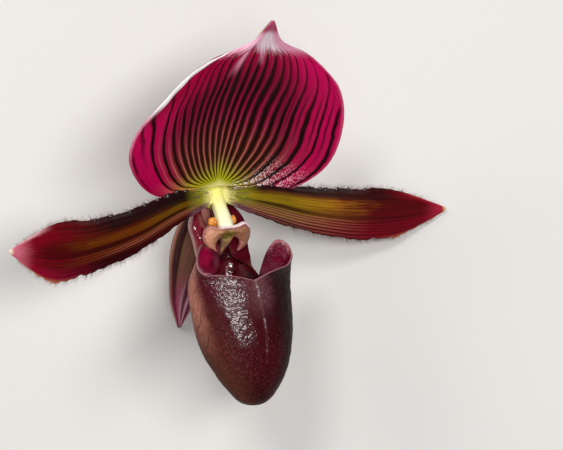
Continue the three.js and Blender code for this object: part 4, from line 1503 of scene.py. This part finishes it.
# %% Paint the lower sepal
p = Paint("lower_sepal_tissue", specular_ior_level=0.16)
across, along, face = p.place()
fine = p.cloud(0.5)
fibre = p.fibres(across * 22.0, along * 5.0)
hairline = p.fibres(across * 60.0, along * 9.0)
pleat = (p.mark("veins") + fine * 0.14).to_vein()
u = across + hairline * 0.08 + fine * 0.04
outer_band = abs(u).near(0.72, 0.30).rises(0.1, 0.7)
inner_band = abs(u - 0.22).falls(0.08, 0.2)
olive_lines = (abs(u + 0.50).falls(0.02, 0.06) + abs(u + 0.08).falls(0.02, 0.06)) * 0.6
olive_lines = olive_lines * along.falls(0.5, 0.8)
dark = p.blend(along.rises(0.5, 0.9), tint(56, 10, 16), tint(120, 14, 52))
front = p.layers(
    p.blend(along.rises(0.45, 0.9), tint(158, 106, 86), tint(206, 70, 124)),
    (across.rises(-0.4, 0.1) * along.rises(0.55, 0.8), tint(236, 176, 196)),
    (fibre.rises(0.0, 0.3) * 0.35, tint(104, 48, 44)), (hairline.rises(0.05, 0.25) * 0.4, tint(84, 30, 32)),
    (outer_band * 0.92, dark), (inner_band * 0.9, dark), (olive_lines, tint(120, 112, 30)),
    (abs(across).rises(0.92, 0.97) * 0.8, tint(184, 130, 116)), (along.rises(0.955, 0.99), tint(120, 84, 70)))
back = p.layers(
    p.blend(along.rises(0.1, 0.9), tint(128, 132, 72), tint(160, 110, 104)),
    (pleat.falls(0.1, 0.4) * 0.7, tint(96, 34, 44)))
p.cover(lower_sepal, p.two_faced(face, back, front), 0.42 + fibre * 0.1, fibre + p.grain(0.2), 0.05)

# %% [markdown]
# ## The finish of the lip
# The lip has three textures that its colours share: soft clouds, a fine mesh of cells, and worm-like
# wrinkles that slant across the pouch. The wrinkles are noise that is counted like a vein, on a slanted
# grid.

# %% The textures of the lip
p = Paint("lip_tissue", specular_ior_level=0.05, coat_ior=1.8)
degrees, height, outer = p.place()
margin, net_line = p.mark("margin"), p.mark("net")
fine, cloud, warp = p.cloud(0.4), p.cloud(4.0), p.cloud(1.6)
small_mesh = p.cells(0.55, "DISTANCE_TO_EDGE").falls(0.02, 0.16)
slanted = p.spread(degrees * 0.15 + height * 0.35 + warp * 0.8, height * 0.9 + warp * 0.4)
worm = (p.grain(1.9, slanted, 1.5) * 8.0).to_vein().rises(0.0, 1.0)
d = degrees + cloud * 16.0
print("the textures take", len(p.tree.nodes), "nodes")

# %% [markdown]
# The outside is dark maroon with a net of veins. The flank that faces the light is paler, from tan low down
# to brown at the rim, with dark nerves. The right side, away from the light, is painted almost black as
# shade, the toe is brown, and reddish specks towards the toe are painted glints.

# %% The outside of the pouch
side = d + (height + 20.0) * 1.2
flank = side.falls(-86.0, -62.0) + d.rises(120.0, 162.0)
beside_flank = side.falls(-64.0, -38.0) * height.falls(-25.0, -21.0)
# Painted shade: the right side of the pouch, away from the light, is darkened almost to black.
shaded_right_side = (d + height * 0.8).rises(-24.0, 22.0)
pale_net = height.rises(-28.5, -21.0) * d.near(4.0, 26.0) * (worm * 0.8 + 0.3)
# Painted glints: small reddish specks towards the toe.
speck_glint = p.cells(0.42).falls(0.16, 0.32) * height.falls(-33.0, -25.0) * degrees.falls(24.0, 60.0)
nerve = (degrees * 0.05 - height * 0.14 + cloud * 1.1).to_vein().falls(0.04, 0.11) * 0.75
tan = p.blend(height.falls(-38.0, -21.0), tint(186, 122, 106), tint(84, 48, 34))
body = p.layers(
    tint(66, 8, 16),
    (height.rises(-34.0, -19.0) * 0.6, tint(88, 24, 38)), (shaded_right_side * 0.95, tint(20, 1, 4)),
    (pale_net, tint(128, 86, 90)), (height.falls(-46.0, -37.0) * 0.85, tint(42, 10, 7)),
    (beside_flank * 0.5, tint(88, 46, 36)), (flank * 0.94, tan), (worm * (1.0 - flank) * 0.3, tint(30, 4, 8)),
    (net_line * 0.3, tint(44, 10, 16)), (speck_glint * 0.5, tint(154, 62, 62)),
    (fine.rises(0.0, 0.22) * flank * 0.3, tint(96, 52, 46)), (nerve * flank, tint(66, 28, 28)))
print("the outside brings them to", len(p.tree.nodes), "nodes")

# %% [markdown]
# Behind, the outside runs on into the claw. Its margins turn in and show their bright inner side, and so
# does the lobe that folds down into the mouth.

# %% The back of the claw and the folded lobe
on_claw = height.rises(-21.0, -16.0) * abs(degrees).rises(134.0, 136.5)
turned_in = abs(degrees).falls(149.0, 156.0)
right_half = degrees.rises(0.0, 1.0)
claw_side = p.layers(
    tint(178, 122, 112), ((degrees * 0.5 + cloud).to_vein().falls(0.1, 0.4) * 0.6, tint(92, 44, 44)),
    (right_half, tint(74, 14, 24)), (turned_in, tint(112, 6, 36)), (turned_in * right_half, tint(78, 3, 20)))
lobe_colour = p.blend(cloud.rises(-0.15, 0.25), tint(84, 2, 28), tint(140, 8, 54))
body = p.layers(body, (on_claw, claw_side), (height.rises(1.0, 4.0), lobe_colour))
print("with the claw and the lobe they are", len(p.tree.nodes), "nodes")

# %% [markdown]
# Inside, the side lobes at the shoulders are crimson, and the hollow at the back of the right one is darkened
# with painted shade; the right one's pale rim is partly its own colour and partly a painted highlight. The
# claw is a wet dark red, and its top near the column is painted paler with painted light; the curl at the top
# of its right margin is painted almost black as shade. A thin mauve line follows the rim.

# %% The inside of the lip and its rim
ear = height.rises(-20.0, -16.0) * abs(degrees).falls(132.0, 136.0)
# The right side lobe's pale rim: partly its own pale colour, partly a painted highlight.
ear_rim = (margin.falls(0.2, 1.3) * degrees.rises(84.0, 96.0) * degrees.falls(112.0, 124.0)
           * height.rises(-16.5, -14.0))
claw = abs(degrees).rises(131.0, 136.0)
# Painted shade: the curl at the top of the claw's right margin is painted almost black, with a magenta
# margin.
shaded_curl = claw * degrees.rises(100.0, 134.0) * degrees.falls(150.0, 160.0) * height.rises(-14.0, -10.0)
inside = p.layers(
    tint(110, 44, 56), (p.cells(1.1).falls(0.2, 0.34) * 0.6, tint(76, 12, 26)),
    (ear, p.blend(cloud.rises(-0.1, 0.25), tint(92, 2, 30), tint(142, 8, 60))),
    # Painted shade in the hollow at the back of the right side lobe.
    (ear * degrees.rises(104.0, 128.0) * 0.8, tint(50, 1, 10)),
    (ear * (worm * 0.3 + fine.rises(0.0, 0.2) * 0.3), tint(50, 1, 16)),
    (claw, p.blend(cloud.rises(-0.2, 0.2), tint(44, 1, 8), tint(92, 6, 20))),
    # Painted light: the top of the claw, near the column, is painted pale.
    (claw * height.rises(-13.0, -8.0), tint(186, 122, 116)), (small_mesh * 0.25, tint(72, 4, 24)),
    (ear_rim * 0.6, tint(176, 96, 104)), (shaded_curl * 0.8, tint(30, 2, 8)),
    (shaded_curl * margin.falls(0.1, 0.5), tint(150, 20, 62)))
rim = margin.falls(0.06, 0.32) * abs(degrees).falls(120.0, 134.0)
colour = p.layers(p.two_faced(outer, inside, body), (rim * 0.75, tint(176, 120, 128)))
print("with the inside they are", len(p.tree.nodes), "nodes")

# %% [markdown]
# A clear coat gives the wet gloss. It covers a slanting patch below the rim, the crease, two streaks on the
# claw and the margin of the right lobe, and is almost nothing elsewhere. The wrinkles and fine pits break
# its highlight into small glints.

# %% The gloss and the relief of the lip
wet = claw * height.rises(-22.0, -20.0) * (
    degrees.near(173.0, 7.0) + degrees.rises(-162.0, -156.0) * degrees.falls(-1.0, 0.0))
crease = abs(degrees - 8.5 + abs(height + 31.0) * 0.4).falls(1.0, 4.0) * (
    height.near(-21.0, 3.4) + height.near(-28.2, 3.2) * 0.8 + height.near(-33.0, 4.0) * 0.2)
reach = height.rises(-27.0, -18.0, 11.0, 22.0)
patch = abs(d + 23.0 + (height + 26.0) * 1.5).falls(reach * 0.7, reach * 1.3) * height.rises(-33.8, -31.2)
below_rim = (margin + worm * 0.5).rises(0.8, 2.0, 0.15, 1.0)
gloss = (patch * below_rim + crease) * height.falls(-15.0, -13.0) * outer.rises(0.35, 0.65)
coat = gloss * 0.55 + wet * 0.95 + speck_glint * 0.06 + ear * 0.12 + ear_rim * 0.5 + 0.015
p.plug(p.shader.inputs["Coat Weight"], coat)
p.plug(p.shader.inputs["Coat Roughness"], 0.20 - wet * 0.10)
roughness = 0.42 + fine * 0.2 + flank * 0.14 + claw * 0.2 - wet * 0.3
relief = (worm + p.cells(0.5) * 0.3 + p.grain(0.4) * 0.5) * (1.0 - claw * 0.85)
p.cover(lip, colour, roughness, relief, 0.05)

# %% [markdown]
# ## The finish of the heart of the flower
# The column glows pale yellow, because light comes through it, so it has a little subsurface scattering.
# The receptacle is green. Each has a fine grain of its own, because even smooth tissue isn't even.

# %% Paint the column and the receptacle
SOFT_DEPTH = (0.002, 0.0016, 0.0006)
p = Paint("column_tissue", specular_ior_level=0.4, subsurface_weight=0.15, subsurface_radius=SOFT_DEPTH)
turn, along, _ = p.place()
fibre = p.fibres(turn * 20.0, along * 3.0)
colour = p.layers(
    p.blend(along.rises(0.1, 0.8), tint(255, 248, 140), tint(255, 252, 208)),
    (fibre.rises(0.05, 0.35) * 0.3, tint(206, 196, 84)),
    (p.cells(0.5).falls(0.06, 0.16) * 0.35, tint(150, 60, 70)))
p.cover(column, colour, 0.38 + fibre * 0.1, fibre + p.grain(0.2), 0.04)

p = Paint("receptacle_tissue", specular_ior_level=0.4)
x, _, _ = p.place()
cloud = p.cloud(1.0)
colour = p.layers(
    p.blend(abs(x).rises(0.2, 0.9), tint(222, 214, 110), tint(150, 150, 40)),
    (cloud.rises(0.05, 0.3) * 0.4, tint(118, 124, 30)))
p.cover(heart, colour, 0.45 + cloud * 0.1, p.grain(0.3), 0.05)

# %% [markdown]
# The shield is tan with a green net in its middle, a pale middle tooth and a mauve edge, and its upper left
# rim is almost white. Its marks tell how far each point is from the outline, so the rims follow every
# tooth.

# %% Paint the shield
p = Paint("shield_tissue", specular_ior_level=0.45, coat_weight=0.12, coat_roughness=0.25)
across, up, inside = p.place()
fine = p.cloud(0.35)
net_line = p.cells(0.75, "DISTANCE_TO_EDGE").falls(0.02, 0.14)
centre = (abs(across) + fine * 0.1).falls(0.10, 0.46) * up.near(0.20, 0.85)
colour = p.layers(
    p.blend(across.rises(-0.6, 0.7), tint(206, 144, 112), tint(150, 96, 70)),
    (centre, p.blend(net_line, tint(148, 122, 44), tint(66, 78, 12))),
    (abs(across).falls(0.16, 0.24) * up.falls(-0.05, 0.2), tint(196, 160, 104)),
    (fine.rises(0.1, 0.3) * 0.3, tint(140, 84, 84)), (inside.falls(0.2, 0.6) * 0.7, tint(150, 74, 84)),
    (inside.falls(0.3, 0.6) * up.rises(0.55, 0.8) * across.rises(-0.45, -0.2), tint(246, 224, 228)),
    (inside.near(0.8, 0.25) * up.rises(0.55, 0.8) * 0.6, tint(150, 62, 98)))
p.cover(shield, colour, 0.36 + fine * 0.2, p.grain(0.3) + net_line * 0.3, 0.06)

# %% [markdown]
# The anthers are orange and sticky, so they have a coat. The stigma is dark maroon with darker warts, and
# dry.

# %% Paint the anthers and the stigma
p = Paint("pollen_mass", specular_ior_level=0.5, coat_weight=0.4, coat_roughness=0.12)
cloud = p.cloud(0.5)
colour = p.layers(
    p.blend(cloud.rises(-0.2, 0.25), tint(222, 112, 14), tint(246, 178, 58)),
    (p.cells(0.3).falls(0.1, 0.3) * 0.5, tint(252, 206, 110)))
p.cover(pollen, colour, 0.32 + cloud * 0.2, p.cells(0.28), 0.06)

p = Paint("stigma_tissue", specular_ior_level=0.4)
cloud = p.cloud(0.5)
colour = p.layers(
    p.blend(cloud.rises(-0.2, 0.25), tint(84, 22, 40), tint(150, 96, 92)),
    (p.cells(0.4).falls(0.1, 0.3) * 0.6, tint(62, 10, 30)))
p.cover(stigma, colour, 0.45 + cloud * 0.2, p.cells(0.35), 0.08)

# %% [markdown]
# ## The finish of the stalks and the bract
# The ovary is green with purple ribs, the stem is dark purple, and its cut end shows pale flesh with darker
# bundles. Both have the sheen of fine down.

# %% Paint the ovary and the stem
p = Paint("ovary_skin", specular_ior_level=0.35, sheen_weight=0.25, sheen_roughness=0.5)
turn, along, _ = p.place()
fibre = p.fibres(turn * 34.0, along * 14.0)
rib = (turn * 6.0 + along * 0.35).to_vein()
colour = p.layers(
    p.blend(rib.rises(0.2, 0.8), tint(86, 42, 42), tint(112, 118, 52)),
    (fibre.rises(0.0, 0.3) * 0.45, tint(74, 52, 30)), (along.falls(0.0, 0.08), tint(168, 166, 60)),
    (p.cells(0.7).falls(0.1, 0.22) * 0.5, tint(60, 22, 30)))
p.cover(ovary, colour, 0.5 + fibre * 0.15, fibre + p.grain(0.25), 0.07)

p = Paint("stem_skin", specular_ior_level=0.35, sheen_weight=0.3, sheen_roughness=0.5)
turn, along, reach = p.place()
fibre = p.fibres(turn * 40.0, along * 12.0)
cut = p.layers(
    tint(190, 196, 122), (p.cells(0.6).falls(0.14, 0.3) * 0.7, tint(96, 108, 46)),
    (reach.rises(0.8, 0.95), tint(96, 84, 50)))
outer_skin = p.layers(
    p.blend(fibre.rises(-0.3, 0.3), tint(64, 28, 34), tint(88, 62, 40)),
    (p.cells(0.8).falls(0.1, 0.2) * 0.5, tint(42, 14, 22)))
colour = p.blend(reach.falls(0.93, 0.99), outer_skin, cut)
p.cover(stem, colour, 0.52 + fibre * 0.15, fibre + p.grain(0.25), 0.07)

# %% [markdown]
# The bract is a green leaf with maroon spots. It is paler at its margins and on its inner side.

# %% Paint the bract
p = Paint("bract_skin", specular_ior_level=0.4)
across, along, face = p.place()
fibre = p.fibres(across * 24.0, along * 5.0)
colour = p.layers(
    p.blend(along + fibre * 0.4, tint(104, 128, 52), tint(142, 152, 70)),
    (p.mark("veins").to_vein().falls(0.1, 0.4) * 0.5, tint(66, 84, 34)),
    (p.cells(1.0).falls(0.16, 0.28) * along.falls(0.3, 0.8), tint(92, 26, 42)),
    (abs(across).rises(0.9, 0.98) * 0.6, tint(156, 120, 84)),
    (face.falls(0.35, 0.65) * 0.4, tint(170, 176, 104)))
p.cover(bract, colour, 0.48 + fibre * 0.1, fibre + p.grain(0.25), 0.05)

# %% [markdown]
# ## The finish of the hairs
# Each kind of hair is darker at its foot and paler at its point, and no two hairs have quite the same tone.
# The hairs of the upper sepal are almost white, and those of the petals are dusky.

# %% Paint the hairs
HAIR_TONES = [
    ("petal_hair", petal_hairs, tint(72, 26, 34), tint(170, 130, 126)),
    ("foot_hair", foot_hairs, tint(48, 12, 22), tint(96, 44, 52)),
    ("sepal_hair", sepal_hairs, tint(236, 176, 196), tint(255, 250, 252)),
    ("stalk_hair", stalk_hairs, tint(110, 84, 64), tint(196, 180, 160))]
for name, hairs, foot, point in HAIR_TONES:
    p = Paint(name, specular_ior_level=0.4, roughness=0.45)
    share, tone, _ = p.place()
    p.cover(hairs, p.layers(p.blend(share.rises(0.1, 0.9), foot, point), (tone * 0.35, tint(210, 180, 176))))

# %% [markdown]
# ## The studio
# The flower lies on a plain pale floor, which is part of the stage and not of the flower. The floor lies a
# tenth of a millimetre under the table's level.

# %% The floor
FLOOR_HALF, FLOOR_LEVEL = 4.0, -0.0001
mesh = bpy.data.meshes.new("floor")
sides = ((-1, -1), (1, -1), (1, 1), (-1, 1))
mesh.from_pydata([(x * FLOOR_HALF, y * FLOOR_HALF, FLOOR_LEVEL) for x, y in sides], [], [(0, 1, 2, 3)])
p = Paint("pale_floor", base_color=tint(226, 224, 222), roughness=0.8, specular_ior_level=0.2)
mesh.materials.append(p.material)
floor = add_object("floor", mesh)
floor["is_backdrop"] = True
print("the floor is", 2 * FLOOR_HALF, "m wide")

# %% [markdown]
# The key lamp stands near the right of the camera, and a large one on the left lifts that side. A small
# spark, up on the left, draws the wet glints on the claw, and a broad fill comes from the stem's side. The
# world adds a little even light.

# %% The lamps and the world
def make_lamp(name, place, aim, size, power, tone, roll=0):
    """A soft rectangular lamp. Places and sizes are in metres, and roll turns the lamp about its own beam."""
    light = bpy.data.lights.new(name, "AREA")
    light.shape, light.size, light.size_y = "RECTANGLE", *size
    light.energy, light.color = power, tone
    lamp = add_object(name, light)
    lamp.location = place
    facing_flower = (Vector(aim) - Vector(place)).to_track_quat("-Z", "Y")
    lamp.rotation_euler = (facing_flower @ Quaternion((0, 0, 1), math.radians(roll))).to_euler()
    print(name, "lamp:", power, "W")


POUCH_LEVEL = (0, 0, 0.03)
make_lamp("key", (0.21, 0.05, 0.80), POUCH_LEVEL, (0.18, 0.46), 3.9, (1.0, 0.99, 0.96), roll=17)
make_lamp("left", (-0.60, 0.40, 0.50), POUCH_LEVEL, (0.55, 0.25), 2.2, (1.0, 0.98, 0.96))
make_lamp("spark", (-0.22, 0.43, 0.80), POUCH_LEVEL, (0.30, 0.20), 2.9, (1.0, 0.99, 0.97))
make_lamp("fill", (0.3, -0.9, 0.6), (0, 0, 0.02), (1.4, 0.9), 1.6, (0.97, 0.98, 1.0))
world = bpy.data.worlds.new("studio")
world.use_nodes = True
sky = world.node_tree.nodes["Background"].inputs
sky["Color"].default_value = (0.92, 0.93, 0.95, 1)
sky["Strength"].default_value = 0.12
bpy.context.scene.world = world

# %% [markdown]
# The camera looks straight down from far away, as one looks at a flower on a table. From far away and
# through a long lens, the petals that reach towards it aren't drawn too large.

# %% The camera
CAMERA_ABOVE = 600.0
VIEW_WIDTH = 135.12
VIEW_MIDDLE = 15.0, -7.92
SENSOR = 36.0
data = bpy.data.cameras.new("camera")
data.sensor_width = SENSOR
data.lens = SENSOR * CAMERA_ABOVE / VIEW_WIDTH
data.clip_start, data.clip_end = 0.01, 20.0
camera = add_object("camera", data)
camera.location = (MIDDLE + np.array([*VIEW_MIDDLE, CAMERA_ABOVE])) * MM
bpy.context.scene.camera = camera
bpy.context.scene.view_settings.view_transform = "Standard"
print("the picture is", VIEW_WIDTH, "mm wide at the flower's middle")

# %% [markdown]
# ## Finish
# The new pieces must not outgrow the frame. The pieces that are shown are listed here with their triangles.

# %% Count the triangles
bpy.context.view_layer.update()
meshes = [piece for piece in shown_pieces() if piece.type == "MESH"]
triangles = {piece.name: sum(len(f.vertices) - 2 for f in piece.data.polygons) for piece in meshes}
print("triangles:", sum(triangles.values()), triangles)
